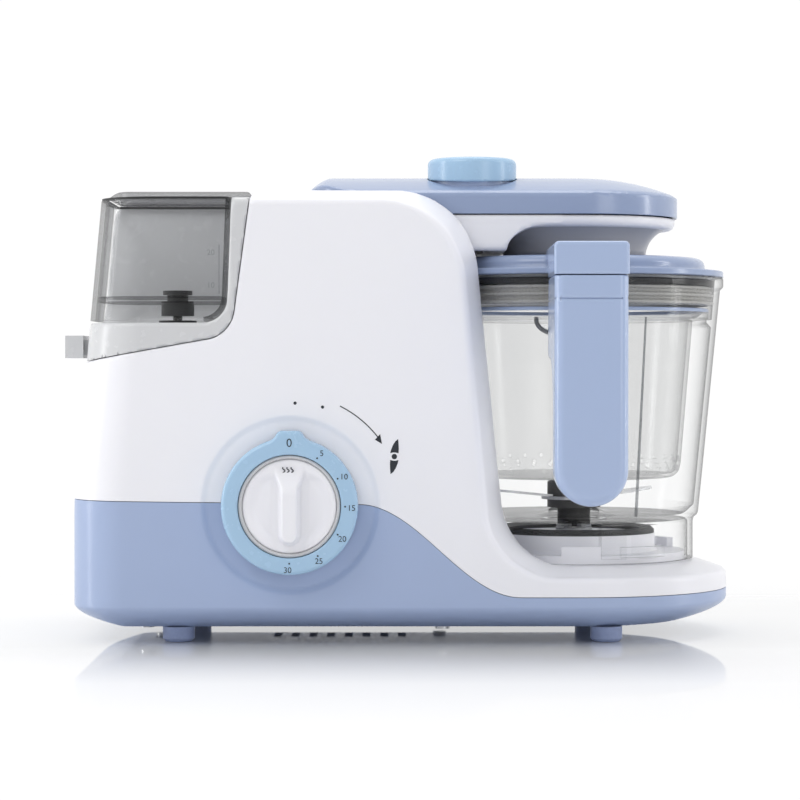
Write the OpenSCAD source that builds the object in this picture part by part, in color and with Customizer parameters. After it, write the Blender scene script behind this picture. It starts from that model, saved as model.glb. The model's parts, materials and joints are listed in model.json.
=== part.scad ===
// Baby food maker: a steamer and blender with a water tank, a jug on a round platform
// and a hinged arm over the jug. Millimetres, +Z up, origin on the floor under the middle.

/* [Body] */
// Distance from the middle to the right end of the platform
half_w = 159; // [158:0.5:160]
// Depth of the body from its front face to its back face
body_d = 160; // [158:1:162]
// Height of the body's top edge above the floor
body_h = 212; // [210:1:214]
// Height of the platform that the jug stands on
platform_h = 35.5; // [35:0.5:36]
// Height of the feet under the body
foot_h = 7; // [6:0.5:8]
// Thickness of the moulded housing walls
wall = 2.6; // [2:0.1:3]
// Radius of the body's left corners, seen from above
corner_r = 25; // [20:1:28]

/* [Jug] */
// Distance of the jug's axis from the middle of the body
jug_x = 85.3; // [85:0.1:86]
// Outer radius of the jug's skirt
skirt_r = 58; // [57:0.5:58.5]
// Outer radius of the jug's rim
rim_r = 72.7; // [72:0.1:73]
// Height of the jug's rim above the floor
rim_z = 172; // [171:0.5:172]
// Wall thickness of the jug
jug_wall = 2.6; // [2:0.1:3]
// Width of the jug's handle
handle_w = 33; // [30:1:34]

/* [Arm] */
// Radius of the arm's round end over the jug
arm_r = 50.3; // [49:0.1:51]
// Height of the joint between the arm's cover and its lower shell
arm_z = 200.7; // [200:0.1:201.5]
// Thickness of the arm's dome above its edge band
dome_h = 9; // [8:0.5:9.5]
// Radius of the push button on the arm
button_r = 21.3; // [20:0.1:22]

/* [Controls] */
// Distance of the knob's axis to the left of the middle
knob_x = -50.5; // [-51:0.1:-50]
// Height of the knob's axis
knob_z = 65; // [64:0.5:66]
// Radius of the selector ring
ring_r = 31.3; // [30:0.1:32]
// Radius of the timer knob's cap
cap_r = 21.6; // [21:0.1:22]

/* [Drive] */
// Distance of the motor's axis to the left of the middle
motor_x = -28; // [-30:1:-26]
// Radius of the motor's can
motor_r = 33; // [31:1:34]
// Pitch radius of the motor pulley
pulley_r = 7; // [6:0.5:8]
// Speed reduction from the motor to the blade
reduction = 3; // [2.5:0.1:3]

/* [Hidden] */

$fn = 64;
white = [0.93, 0.93, 0.95];
blue = [0.64, 0.70, 0.82];
light_blue = [0.60, 0.73, 0.86];
smoke = [0.75, 0.77, 0.78, 0.5];
clear = [0.86, 0.89, 0.91, 0.4];
dark = [0.14, 0.14, 0.15];
steel = [0.72, 0.73, 0.75];

front_y = -59;                       // the body's front face
mid_y = front_y + body_d / 2;        // the plane of the jug's and the motor's axes
eps = 0.01;
gap = 0.3;                           // clearance between separate mouldings
base_z = foot_h;                     // underside of the body
side_x = -152.8;                     // left side at its widest
lean = 0.094;                        // slope of the left and right sides from the vertical
waist_z = 68;                        // where the left side starts to lean
seam_low = 22.4;                     // height of the colour joint along the platform
seam_high = 65.3;                    // height of the colour joint along the left part
pocket_floor = 182;                  // floor of the arm's pocket in the body's top
hinge = [-38, 207];                  // X and Z of the arm's hinge axis
hinge_half = 46;                     // half of the width of the well round the hinge
arm_left = -45.6;
arm_corner_r = 34;
arm_half = arm_r;                    // half of the arm's width
driven_r = pulley_r * reduction;
belt_z = 15;
belt_w = 8;
belt_t = 1.6;
tank_back = 81;                      // depth of the tank behind the front face
tank_floor = 160;
tank_top = 206;

// ---- plane geometry -------------------------------------------------------------------

function unit(v) = v / norm(v);

function line_meet(p, u, q, v) =
    let (w = q - p) p + u * ((w[0] * v[1] - w[1] * v[0]) / (u[0] * v[1] - u[1] * v[0]));

// the corners c after each edge i, from corner i to the next, has moved inward by e[i]
function moved(c, e) = [
    for (i = [0:len(c) - 1])
        let (
            n = len(c), h = (i + n - 1) % n,
            u = unit(c[i] - c[h]), v = unit(c[(i + 1) % n] - c[i]),
            p = c[h] + e[h] * [-u[1], u[0]], q = c[i] + e[i] * [-v[1], v[0]]
        )
        line_meet(p, u, q, v)
];

function round_corner(a, b, c, r, n) =
    let (
        u = unit(a - b), v = unit(c - b), half = acos(u * v) / 2,
        m = b + unit(u + v) * r / sin(half),
        s = b + u * r / tan(half) - m, f = b + v * r / tan(half) - m,
        start = atan2(s[1], s[0]), d = atan2(f[1], f[0]) - start,
        turn = d > 180 ? d - 360 : (d < -180 ? d + 360 : d)
    )
    [for (i = [0:n]) m + r * [cos(start + turn * i / n), sin(start + turn * i / n)]];

function outline(c, r, n = 7) = [
    for (i = [0:len(c) - 1])
        each round_corner(c[(i + len(c) - 1) % len(c)], c[i], c[(i + 1) % len(c)], r[i], n)
];

// a solid through rings of equal length, each ring counter-clockwise seen from the last one
module loft(rings) {
    m = len(rings[0]);
    k = len(rings);
    sides = [
        for (j = [0:k - 2], i = [0:m - 1])
            [j * m + i, (j + 1) * m + i, (j + 1) * m + (i + 1) % m, j * m + (i + 1) % m]
    ];
    first = [for (i = [0:m - 1]) i];
    last = [for (i = [m - 1:-1:0]) (k - 1) * m + i];
    polyhedron([for (r = rings) each r], concat(sides, [first, last]), convexity = 10);
}

// ---- the body's outer form ------------------------------------------------------------

// how far each face stands back, y behind the front face or ahead of the back face
function edge_in(y) = y < 3 ? 3 - sqrt(9 - (3 - y) * (3 - y)) : 0;
function soft_in(y, depth, amount) = y < depth ? amount * pow(1 - y / depth, 1.5) : 0;
function corner_in(y) =
    y < corner_r ? corner_r - sqrt(corner_r * corner_r - pow(corner_r - y, 2)) : 0;
function platform_in(y) = y < 3 ? 4 + edge_in(y) : soft_in(y - 3, 15, 4);

// the column and the left part, seen from the front
column = [
    [side_x, base_z + 13], [82, base_z + 13], [82, platform_h - 0.2],
    [51.2, platform_h - 0.2], [51.2 - lean * (body_h - platform_h), body_h],
    [side_x + lean * (body_h - waist_z), body_h], [side_x, waist_z]
];
column_r = [1, 1, 1, 30, 40, 12, 200];
column_sign = [1, 1, 1, -1, 1, 1, 1];

function column_insets(front, back) =
    let (
        near = min(front, back), amount = front < back ? 9 : 4, depth = front < back ? 32 : 14,
        right = soft_in(near, depth, amount) + edge_in(near),
        top = soft_in(near, depth, amount * 0.65) + edge_in(near),
        left = corner_in(near)
    )
    [0, 0, platform_in(near), right, top, left, left];

function column_ring(y, t) =
    let (
        e = [for (v = column_insets(y, body_d - y)) v + t],
        c = moved(column, e),
        r = [for (i = [0:6]) max(column_r[i] - column_sign[i] * e[i], 0.8)]
    )
    [for (p = outline(c, r)) [p[0], front_y + t + y * (1 - 2 * t / body_d), p[1]]];

steps = [0, 0.3, 1, 2, 3, 5, 8, 12, 18, 25, 32];
column_y = concat(steps, [for (i = [10:-1:0]) body_d - steps[i]]);

// the base and the platform, seen from above
plan = [
    [side_x, front_y], [half_w, front_y], [half_w, front_y + body_d], [side_x, front_y + body_d]
];
plan_r = [corner_r, 76, 76, corner_r];

function plan_ring(z, inset) = [
    for (p = outline(moved(plan, [inset, inset, inset, inset]),
                     [for (r = plan_r) max(r - inset, 1)], 12)) [p[0], p[1], z]
];

function base_profile() = concat(
    [for (i = [0:6]) [base_z + 11 * i / 6, 22 * pow(1 - i / 6, 1.8)]],
    [for (y = [0, 0.3, 1, 2, 3, 6, 10, 14, 18]) [platform_h - platform_in(y), y]]
);

module body_solid(t) {
    loft([for (y = [for (i = [len(column_y) - 1:-1:0]) column_y[i]]) column_ring(y, t)]);
    loft([
        for (s = base_profile())
            plan_ring(max(min(s[0], platform_h - t), base_z + t), s[1] + t)
    ]);
}

module arm_plan(grow) {
    r = arm_corner_r + grow;
    x = arm_left + arm_corner_r;
    translate([jug_x, mid_y]) circle(r = arm_r + grow);
    for (s = [-1, 1])
        translate([x, mid_y + s * (arm_half - arm_corner_r)]) circle(r = r);
    translate([x, mid_y - arm_half - grow]) square([jug_x - x, 2 * (arm_half + grow)]);
    translate([arm_left - grow, mid_y - arm_half + arm_corner_r])
        square([r, 2 * (arm_half - arm_corner_r)]);
}

// the corner of the body that the cradle and the tank fill, seen from the front
tank_corner = [[-170, 126.9], [-77.75, 143.35], [-63.3, 250], [-170, 250]];
tank_corner_r = [1, 10, 1, 1];
tank_depth = 84;

module front_prism(points, y0, y1)
    translate([0, front_y + y1, 0]) rotate([90, 0, 0]) linear_extrude(y1 - y0) polygon(points);

module tank_prism(grow, y1) {
    e = -grow;
    front_prism(outline(moved(tank_corner, [e, e, e, e]),
                        [for (r = tank_corner_r) max(r - e, 1)]), -5, y1);
}

module recess(grow)
    translate([jug_x, mid_y, platform_h - grow])
        cylinder(h = 200, r1 = 62.5 + grow, r2 = 62.5 + grow + 200 * lean);

module pockets(grow) {
    recess(grow);
    translate([0, 0, pocket_floor - grow]) linear_extrude(60) arm_plan(2 + grow);
    translate([50, mid_y - arm_half - 2 - grow, pocket_floor - grow])
        cube([80, 2 * (arm_half + 2 + grow), 60]);
    translate([arm_left - 5 - grow, mid_y - hinge_half - grow, hinge[1] - 12 - grow])
        cube([30, 2 * (hinge_half + grow), 40]);
    tank_prism(grow, tank_depth + grow);
    translate([knob_x, front_y - eps, knob_z]) rotate([-90, 0, 0])
        cylinder(h = 1.2 + grow, r = 41 + grow);
}

// the prism under the colour joint, z0 above or below the joint's own line
module under_seam(shift) {
    x0 = -19;
    x1 = 56;
    n = 16;
    curve = [
        for (i = [0:n])
            [x0 + (x1 - x0) * i / n,
             shift + seam_low + (seam_high - seam_low) * (1 + cos(180 * i / n)) / 2]
    ];
    difference() {
        front_prism(concat([[-170, -5], [-170, seam_high + 2 + shift]], curve,
                           [[170, seam_low + shift], [170, -5]]), -5, body_d + 5);
        translate([0, front_y + 22, seam_low + shift]) cube([70, body_d - 44, 60]);
    }
}

module housing_shell() {
    difference() {
        body_solid(0);
        pockets(0);
        difference() {
            body_solid(wall);
            pockets(wall);
        }
        translate([0, 0, base_z - 1]) linear_extrude(wall + 2) base_plan(22.5);
        translate([knob_x, front_y - 1, knob_z]) rotate([-90, 0, 0]) cylinder(h = 8, r = 9);
        translate([jug_x, mid_y, platform_h - 8]) cylinder(h = 10, r = 12);
        translate([-20, mid_y + 30, pocket_floor - 6]) cylinder(h = 8, r = 6);
        translate([tube_x, front_y + tube_y, 120]) cylinder(h = 40, r = 7);
        translate([gland_x, front_y + body_d - 8, gland_z]) rotate([-90, 0, 0])
            cylinder(h = 12, r = 10.05);
        translate([hinge[0], mid_y, hinge[1]]) rotate([90, 0, 0])
            cylinder(h = 2 * (hinge_half + 2.1), r = 2.03, center = true);
    }
}

module base_plan(inset) {
    polygon(outline(moved(plan, [inset, inset, inset, inset]), [for (r = plan_r) r - inset], 12));
}

tube_x = -106;
tube_y = 45;
gland_x = -105;
gland_z = 34;

// a rounded slot through the back wall
module slot(x, z, h)
    hull() for (s = [0, 1])
        translate([x, front_y + body_d + 1, z + s * h]) rotate([90, 0, 0])
            cylinder(h = 8, r = 1.6, $fn = 16);

// a stiffening rib inside a wall that faces along Y
module rib(x, y, z0, z1)
    hull() for (z = [z0, z1]) translate([x, y, z]) cube([1.6, 3, 1], center = true);

module front_housing() color(white) {
    intersection() {
        difference() {
            housing_shell();
            under_seam(0.15);
        }
        translate([-200, front_y - 10, 0]) cube([400, body_d / 2 + 10 - 0.05, 300]);
    }
    for (i = [0:8])
        rib(-100 + 14 * i, front_y + wall + 1.2, 106 + 0.1 * i, 120);
}

module rear_housing() color(white) {
    difference() {
        intersection() {
            difference() {
                housing_shell();
                under_seam(0.15);
            }
            translate([-200, mid_y + 0.05, 0]) cube([400, body_d / 2 + 10, 300]);
        }
        for (i = [0:11]) slot(-80 + 9 * i, 92, 34);
    }
}

module lower_housing() color(blue) {
    difference() {
        intersection() {
            housing_shell();
            under_seam(-0.15);
        }
        for (i = [0:7]) slot(-60 + 9 * i, 26, 20);
    }
}

foot_at = [[-104, 26], [97, 26], [-104, body_d - 26], [97, body_d - 26]];
plate_screw_at = [[-120, 40], [20, 32], [-120, body_d - 40], [20, body_d - 32]];

module bottom_plate() color(blue * 0.85) {
    difference() {
        translate([0, 0, base_z]) linear_extrude(wall) base_plan(22.8);
        for (i = [0:7])
            translate([motor_x - 36 + 9 * i, mid_y + 36, base_z - 1]) cube([4, 22, wall + 2]);
        for (p = plate_screw_at)
            translate([p[0], front_y + p[1], base_z - 1]) cylinder(h = wall + 2, r = 1.9);
    }
}

module foot(i) color([0.49, 0.55, 0.70])
    translate([foot_at[i][0], front_y + foot_at[i][1], 0])
        rotate_extrude() polygon([
            [0, 0], [6.2, 0], [7.5, 1.3], [7.5, base_z - 0.02], [0, base_z - 0.02]
        ]);

module base_screws() color(steel)
    for (p = plate_screw_at)
        translate([p[0], front_y + p[1], base_z - 1.8]) {
            cylinder(h = 1.75, r = 3.4);
            cylinder(h = 12, r = 1.8);
        }

// ---- jug dock and drive ---------------------------------------------------------------

module at_jug() translate([jug_x, mid_y, 0]) children();

module jug_dock() color(white) at_jug() {
    rotate_extrude() polygon([
        [11.02, platform_h + 0.02], [53.8, platform_h + 0.02], [53.8, 39.5], [41, 39.5],
        [39.5, 41], [39.5, 48], [11.02, 48]
    ]);
    rotate_extrude() polygon([
        [11.02, platform_h + 0.05], [11.02, 29], [11.9, 29], [11.9, platform_h + 0.05]
    ]);
    for (a = [30, 150, 270])
        rotate([0, 0, a - 10])
            rotate_extrude(angle = 20) translate([50.5, 39.4]) square([3.2, 4.6]);
}

module dock_seal() color(dark) at_jug()
    rotate_extrude() polygon([[33, 48.02], [39.2, 48.02], [39.2, 49.6], [37.6, 51], [33, 49.6]]);

module drive_bearings() color(steel) at_jug()
    for (z = [base_z + wall + 0.05, 33]) translate([0, 0, z])
        rotate_extrude() translate([4.05, 0]) square([6.95, 7]);

module drive_coupling() color(steel) at_jug() {
    translate([0, 0, 10.5]) cylinder(h = 39, r = 4);
    for (a = [0:60:300]) rotate([0, 0, a]) translate([4.5, -1.2, 48.8]) cube([4, 2.4, 4]);
    translate([0, 0, 48.6]) cylinder(h = 1.6, r = 9);
}

module driven_pulley() color(dark) at_jug() translate([0, 0, belt_z + 2.2])
    difference() {
        union() {
            translate([0, 0, 1]) cylinder(h = belt_w + 0.6, r = driven_r);
            cylinder(h = 1, r = driven_r + 2.6);
            translate([0, 0, belt_w + 1.6]) cylinder(h = 1, r = driven_r + 2.6);
        }
        translate([0, 0, -1]) cylinder(h = 20, r = 4.02);
    }

module motor_pulley() color(dark) translate([motor_x, mid_y, belt_z + 2.2])
    difference() {
        union() {
            translate([0, 0, 1]) cylinder(h = belt_w + 0.6, r = pulley_r);
            cylinder(h = 1, r = pulley_r + 2.2);
            translate([0, 0, belt_w + 1.6]) cylinder(h = 1, r = pulley_r + 2.2);
        }
        translate([0, 0, -1]) cylinder(h = 20, r = 3.02);
    }

// the belt's path round both pulleys, grow outside their pitch circles
function belt_points(grow) =
    let (
        d = jug_x - motor_x, small = pulley_r + grow, big = driven_r + grow,
        touch = acos((pulley_r - driven_r) / d)
    )
    concat(
        [for (i = [0:12]) let (w = touch + (360 - 2 * touch) * i / 12) small * [cos(w), sin(w)]],
        [for (i = [0:24]) let (w = -touch + 2 * touch * i / 24) [d, 0] + big * [cos(w), sin(w)]]
    );

module drive_belt() color(dark) translate([motor_x, mid_y, belt_z + 3.6])
    linear_extrude(belt_w - 0.2) difference() {
        polygon(belt_points(2 * gap + belt_t));
        polygon(belt_points(2 * gap));
    }

motor_z = 46;
motor_h = 84;

module at_motor() translate([motor_x, mid_y, motor_z]) children();

module motor_can() color(steel) at_motor()
    rotate_extrude() polygon([
        [motor_r - 1.6, 0], [motor_r, 0], [motor_r, motor_h], [9, motor_h], [9, motor_h - 1.6],
        [motor_r - 1.6, motor_h - 1.6]
    ]);

module motor_end_cap() color(dark) at_motor()
    rotate_extrude() polygon([
        [3.05, 0], [motor_r - 1.65, 0], [motor_r - 1.65, 2.5], [8, 2.5], [8, 7], [3.05, 7]
    ]);

module motor_bracket() color([0.6, 0.62, 0.64]) at_motor() translate([0, 0, -4])
    difference() {
        translate([-motor_r - 6, -motor_r - 5, 0])
            cube([2 * motor_r + 12, 2 * motor_r + 10, 3.95]);
        translate([0, 0, -1]) cylinder(h = 8, r = 12);
        for (x = [-34, 34], y = [-33, 33])
            translate([x, y, -1]) cylinder(h = 8, r = 2.2);
    }

module motor_screws() color(steel) at_motor()
    for (x = [-34, 34], y = [-33, 33])
        translate([x, y, -16]) {
            cylinder(h = 17, r = 2.1);
            translate([0, 0, 16]) cylinder(h = 3, r = 4);
        }

module rotor() color([0.72, 0.45, 0.25]) translate([motor_x, mid_y, 0]) {
    translate([0, 0, belt_z]) cylinder(h = motor_z + motor_h - belt_z + 4, r = 3);
    translate([0, 0, motor_z + 12]) cylinder(h = motor_h - 26, r = 22);
    translate([0, 0, motor_z - 9.5]) {
        cylinder(h = 2, r = 10);
        for (a = [0:45:315]) rotate([0, 0, a]) translate([6, -0.8, 0]) cube([18, 1.6, 4.5]);
    }
}

// ---- steam circuit and electrics --------------------------------------------------------

boiler_at = [-108, 112, 44];

module at_boiler()
    translate([boiler_at[0], front_y + boiler_at[1], boiler_at[2]]) children();

module boiler() color([0.78, 0.79, 0.80]) at_boiler() {
    cylinder(h = 40, r = 27);
    translate([0, 0, 39.9]) cylinder(h = 9, r = 6);
    translate([-16, 0, 39.9]) cylinder(h = 9, r = 5);
    for (a = [45, 165, 285]) rotate([0, 0, a]) translate([24, 0, -30.5]) cylinder(h = 30.6, r = 3);
}

module heating_element() color([0.45, 0.44, 0.43]) at_boiler() {
    translate([0, 0, -6.1]) rotate_extrude(angle = 310) translate([17, 0]) circle(r = 3.2);
    for (a = [0, 310]) rotate([0, 0, a]) translate([17, 0, -12]) cylinder(h = 8.5, r = 2.2);
}

module thermostat() color(dark) at_boiler() translate([0, 0, -10.1]) {
    cylinder(h = 10, r = 8);
    for (x = [-4, 4]) translate([x - 0.4, -3, -7]) cube([0.8, 6, 7.1]);
}

// a tube through a list of points, with balls at its bends
module tube(points, r) {
    for (i = [0:len(points) - 2]) {
        d = points[i + 1] - points[i];
        translate(points[i])
            rotate([0, acos(d[2] / norm(d)), atan2(d[1], d[0])])
                cylinder(h = norm(d), r = r, $fn = 20);
        if (i > 0) translate(points[i]) sphere(r = r, $fn = 20);
    }
}

module water_tube() color([0.85, 0.85, 0.83])
    tube([
        [boiler_at[0] - 16, front_y + boiler_at[1], boiler_at[2] + 49.2],
        [boiler_at[0] - 16, front_y + boiler_at[1], 104],
        [boiler_at[0] - 16, front_y + tube_y, 104], [tube_x, front_y + tube_y, 109],
        [tube_x, front_y + tube_y, 119.3]
    ], 3.4);

module steam_tube() color([0.85, 0.85, 0.83])
    tube([
        [boiler_at[0], front_y + boiler_at[1], boiler_at[2] + 49.2],
        [boiler_at[0], front_y + boiler_at[1], 150], [-20, mid_y + 30, 164],
        [-20, mid_y + 30, pocket_floor - 3.4]
    ], 4);

// the socket in the cradle that the tank's valve opens into
module tank_port() color(dark) translate([tube_x, front_y + tube_y, 0])
    rotate_extrude() polygon([
        [2.5, 119.5], [6, 119.5], [6, 149], [9, 149], [9, 150.8], [2.5, 150.8]
    ]);

module at_knob() translate([knob_x, front_y, knob_z]) rotate([-90, 0, 0]) children();

module timer_body() color([0.88, 0.87, 0.80]) at_knob() difference() {
    translate([-21, -21, 16]) cube([42, 42, 24]);
    translate([0, 0, 15]) cylinder(h = 12, r = 3.6);
}

module selector_switch() color(dark) at_knob() difference() {
    translate([-24, -19, wall + 1.4]) cube([48, 38, 11.5]);
    translate([0, 0, wall]) cylinder(h = 16, r = 7.6);
}

module circuit_board() color([0.16, 0.42, 0.26])
    translate([-62, front_y + 128, 44]) {
        cube([66, 1.6, 60]);
        for (i = [0:3]) translate([6 + 14 * i, -9, 12]) cube([9, 9.1, 14]);
        for (i = [0:2]) translate([12 + 18 * i, -0.1, 46]) rotate([90, 0, 0]) cylinder(h = 10, r = 5);
    }

module lid_switch() color(dark) translate([-3, front_y + 34, 162]) {
    cube([16, 8, 12]);
    translate([7, 2, 12]) cube([3, 4, 3]);
}

module terminal_block() color([0.90, 0.89, 0.84])
    translate([-92, front_y + body_d - 22, 22]) difference() {
        cube([34, 14, 14]);
        for (i = [0:2]) translate([6.5 + 10.5 * i, 7, 6]) cylinder(h = 10, r = 2.4, $fn = 8);
    }

module cord_gland() color(dark)
    translate([gland_x, front_y + body_d, gland_z]) rotate([90, 0, 0])
        rotate_extrude() polygon([
            [3.6, 0.1], [10, 0.1], [10, 2.65], [12.5, 2.65], [12.5, 5], [8, 5], [8, 12], [3.6, 12]
        ]);

// ---- arm ----------------------------------------------------------------------------------

arm_corners = [
    [arm_left, mid_y - arm_half], [jug_x + arm_r, mid_y - arm_half],
    [jug_x + arm_r, mid_y + arm_half], [arm_left, mid_y + arm_half]
];

// a level ring of the arm's cover, inset from its outline, for a skin t inside the surface
function arm_ring(z, inset, t) =
    let (
        left = t + min((inset - t) * 0.35, 14),
        c = moved(arm_corners, [inset, inset, inset, left]),
        r = [
            for (v = [arm_corner_r, arm_r - 0.2, arm_r - 0.2, arm_corner_r])
                max(v - inset, 0.8)
        ]
    )
    [for (p = outline(c, r, 10)) [p[0], p[1], z]];

dome_steps = [0, 0.04, 0.09, 0.16, 0.26, 0.38, 0.52, 0.68, 0.84];

function dome_z(s) = arm_z + 10.8 + dome_h * (1 - pow(1 - s, 2));

module arm_solid(t)
    loft(concat(
        [arm_ring(arm_z - (t > 0 ? 1 : 0), 0.8 + t, t), arm_ring(arm_z + 0.8, t, t),
         arm_ring(arm_z + 9.2 - t, t, t)],
        [for (s = dome_steps) arm_ring(dome_z(s) - t, 1 + t + s * (arm_r - 6), t)]
    ));

button_at = [34.7, front_y + 59];
collar_r = button_r - 1.8;
button_tilt = 6;                     // the joint under the button leans forward with the dome

module arm_cover() color(blue) {
    difference() {
        arm_solid(0);
        arm_solid(2.2);
        at_button() translate([0, 0, arm_z]) cylinder(h = 30, r = collar_r + 0.05);
        // room for the button's skirt where the dome stands higher than the joint
        intersection() {
            at_button() translate([0, 0, arm_z]) cylinder(h = 30, r = button_r + 0.5);
            above_joint(-2);
        }
        translate([hinge[0], mid_y, hinge[1]]) rotate([90, 0, 0])
            cylinder(h = 90, r = 2.4, center = true);
    }
    for (i = [0:5], side = [-1, 1])
        hull() for (z = [2, 8])
            translate([-6 + 17 * i, mid_y + side * (arm_half - 2.7), arm_z + z])
                cube([1.4, 3, 1], center = true);
}

under_z = 195.2;

module arm_lower_shell() color(white) {
    difference() {
        union() {
            translate([0, 0, under_z]) linear_extrude(arm_z - under_z - 0.15) arm_plan(-1.2);
            intersection() {
                front_prism(deep_profile(0), 0, body_d);
                translate([0, 0, 180]) linear_extrude(30) arm_plan(-1.2);
            }
            at_jug() rotate_extrude() polygon(concat(
                [[30, 182.6], [35, 182.6]],
                [for (a = [0:15:90]) [50 - 15 * cos(a), 182.6 + 14 * sin(a)]],
                [[30, 196.6]]
            ));
        }
        translate([0, 0, under_z + 2.4]) linear_extrude(10) arm_plan(-3.8);
        intersection() {
            front_prism(deep_profile(2.4), 30, body_d - 30);
            translate([0, 0, 180]) linear_extrude(30) arm_plan(-3.8);
        }
        at_jug() translate([0, 0, 180]) cylinder(h = 30, r = 32.6);
        translate([hinge[0], mid_y - 41, hinge[1]]) rotate([-90, 0, 0]) cylinder(h = 82, r = 6);
        translate([button_at[0] - 8, button_at[1] - 26, pocket_floor - 1]) cube([16, 11, 10]);
        translate([-20, mid_y + 30, pocket_floor - 3]) cylinder(h = 9, r = 5.2);
    }
}

function deep_profile(t) =
    let (low = pocket_floor + 1.6 + t, left = hinge[0] + 2 + t)
    concat(
        [[left, arm_z - 1], [left, low + 6], [left + 6, low], [50.5 - t, low]],
        [for (a = [15:15:90]) [50.5 - t + 21 * (1 - cos(a)), low + (12.6 - t) * sin(a) + t * 0.2]],
        [[78, under_z + 1.5], [78, arm_z - 1]]
    );

module arm_hinge_barrels() color(white) difference() {
    for (y = [-20, 4])
        translate([hinge[0], mid_y + y, hinge[1]]) {
            rotate([-90, 0, 0]) cylinder(h = 16, r = 4.4);
            translate([-3.4, 0, 197.65 - hinge[1]]) cube([6.8, 16, hinge[1] - 201]);
        }
    translate([hinge[0], mid_y - 45, hinge[1]]) rotate([-90, 0, 0]) cylinder(h = 90, r = 2.06);
}

module lid_hinge_pin() color(steel)
    translate([hinge[0], mid_y, hinge[1]]) rotate([90, 0, 0])
        cylinder(h = 2 * (hinge_half + 2), r = 2, center = true);

module steam_nozzle() color(white) at_jug() {
    rotate_extrude() polygon([
        [4, 177.5], [6, 177.5], [6.5, 182], [9, 183], [9, 184.4], [32.4, 184.4], [32.4, 186.8],
        [4, 186.8]
    ]);
    rotate_extrude() polygon([[4, 186.7], [7, 186.7], [7, 193], [4, 193]]);
}

// everything above the joint under the button, shifted up by lift
module above_joint(lift)
    translate([button_at[0], button_at[1], joint_z + lift]) rotate([button_tilt, 0, 0])
        translate([-40, -40, 0]) cube([80, 80, 40]);

joint_z = 218.8;
button_top = 229;
well_z = 210;

module at_button() translate([button_at[0], button_at[1], 0]) children();

module button_collar() color(blue) difference() {
    at_button() rotate_extrude() polygon([
        [5.5, well_z - 2], [collar_r, well_z - 2], [collar_r, 224], [collar_r - 2, 224],
        [collar_r - 2, well_z], [5.5, well_z]
    ]);
    above_joint(1.2);
}

module arm_button() color(light_blue) intersection() {
    at_button() rotate_extrude() polygon(concat(
        [[0, 203.4], [5, 203.4], [5, button_top - 2], [button_r - 3.4, button_top - 2],
         [button_r - 1.4, button_top - 4], [button_r - 1.4, 210], [button_r, 210]],
        [for (a = [0:15:90]) [button_r - 3 + 3 * cos(a), button_top - 3 + 3 * sin(a)]],
        [[0, button_top]]
    ));
    union() {
        above_joint(0);
        at_button() translate([0, 0, 200]) cylinder(h = 30, r = 6);
    }
}

module button_spring() color(steel) at_button() translate([0, 0, well_z + 0.2]) difference() {
    cylinder(h = button_top - 2.4 - well_z, r = 8.6);
    translate([0, 0, -1]) cylinder(h = 30, r = 7.4);
}

module arm_latch() color(dark)
    translate([button_at[0] - 4.5, button_at[1], 0]) {
        translate([0, -24, pocket_floor + 0.7]) cube([9, 6, 16]);
        translate([0, -24, 198.4]) cube([9, 28, 1.8]);
        translate([0, -4, 200]) cube([9, 8, 1.6]);
    }

// ---- controls -----------------------------------------------------------------------------

module selector_ring() color(light_blue) at_knob() difference() {
    union() {
        translate([0, 0, -12]) rotate_extrude() polygon([
            [23.6, 0], [ring_r - 2, 0], [ring_r - 0.6, 0.6], [ring_r, 2], [ring_r, 12.2],
            [23.6, 12.2]
        ]);
        translate([-6.7, -ring_r - 3.2, -12]) cube([13.4, 10, 12.2]);
        translate([0, 0, -3]) cylinder(h = 2.5, r = 24);
        translate([0, 0, -3]) cylinder(h = 18, r = 7.5);
    }
    translate([0, 0, -8]) cylinder(h = 60, r = 4.6);
}

module timer_knob() color(white) at_knob() {
    translate([0, 0, -9.4]) rotate_extrude() polygon([
        [0, 0], [cap_r - 1.2, 0], [cap_r, 1.2], [cap_r, 4.9], [0, 4.9]
    ]);
    difference() {
        translate([-5, -14, -16.4]) cube([10, 32, 7.1]);
        translate([-6, 18, -16.4]) rotate([-35, 0, 0]) translate([0, 0, -12]) cube([12, 12, 12]);
    }
}

module knob_trim_ring() color([0.84, 0.85, 0.88]) at_knob()
    translate([0, 0, -11.4]) rotate_extrude()
        polygon([[cap_r + 0.05, 2], [22.6, 0], [23.3, 0.6], [23.3, 7], [cap_r + 0.05, 7]]);

module timer_shaft() color(steel) at_knob() translate([0, 0, -4.45]) cylinder(h = 27, r = 3.4);

// ---- jug ------------------------------------------------------------------------------------

kink_z = 57.6;
floor_z = 55;
wall_low = 60.6;

function jug_outer(z) = wall_low + (71.2 - wall_low) * (z - kink_z) / (167 - kink_z);

module jug() color(clear) at_jug() {
    rotate_extrude() polygon([
        [skirt_r - jug_wall, platform_h + gap], [skirt_r, platform_h + gap], [skirt_r, 55.5],
        [wall_low, kink_z], [jug_outer(166.5), 166.5], [rim_r, 167.5], [rim_r, rim_z],
        [jug_outer(167) - jug_wall, rim_z], [jug_outer(151.8) - jug_wall, 151.8], [64.6, 151.8],
        [64.6, 150.4], [jug_outer(148) - jug_wall, 148], [jug_outer(60) - jug_wall, 60],
        [skirt_r - jug_wall - 1, kink_z], [16, kink_z], [10.5, 60], [8.06, 60],
        [8.06, floor_z - 1], [16, floor_z - 1], [16, floor_z], [skirt_r - jug_wall, floor_z]
    ]);
    for (a = [-72, 48, 168])
        rotate([0, 0, a])
            rotate_extrude(angle = 24) translate([skirt_r - 0.2, 39]) square([2.6, 5]);
}

handle_front = -101;
handle_t = 20;
root_low = 120;
handle_top = 169.5;

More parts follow.
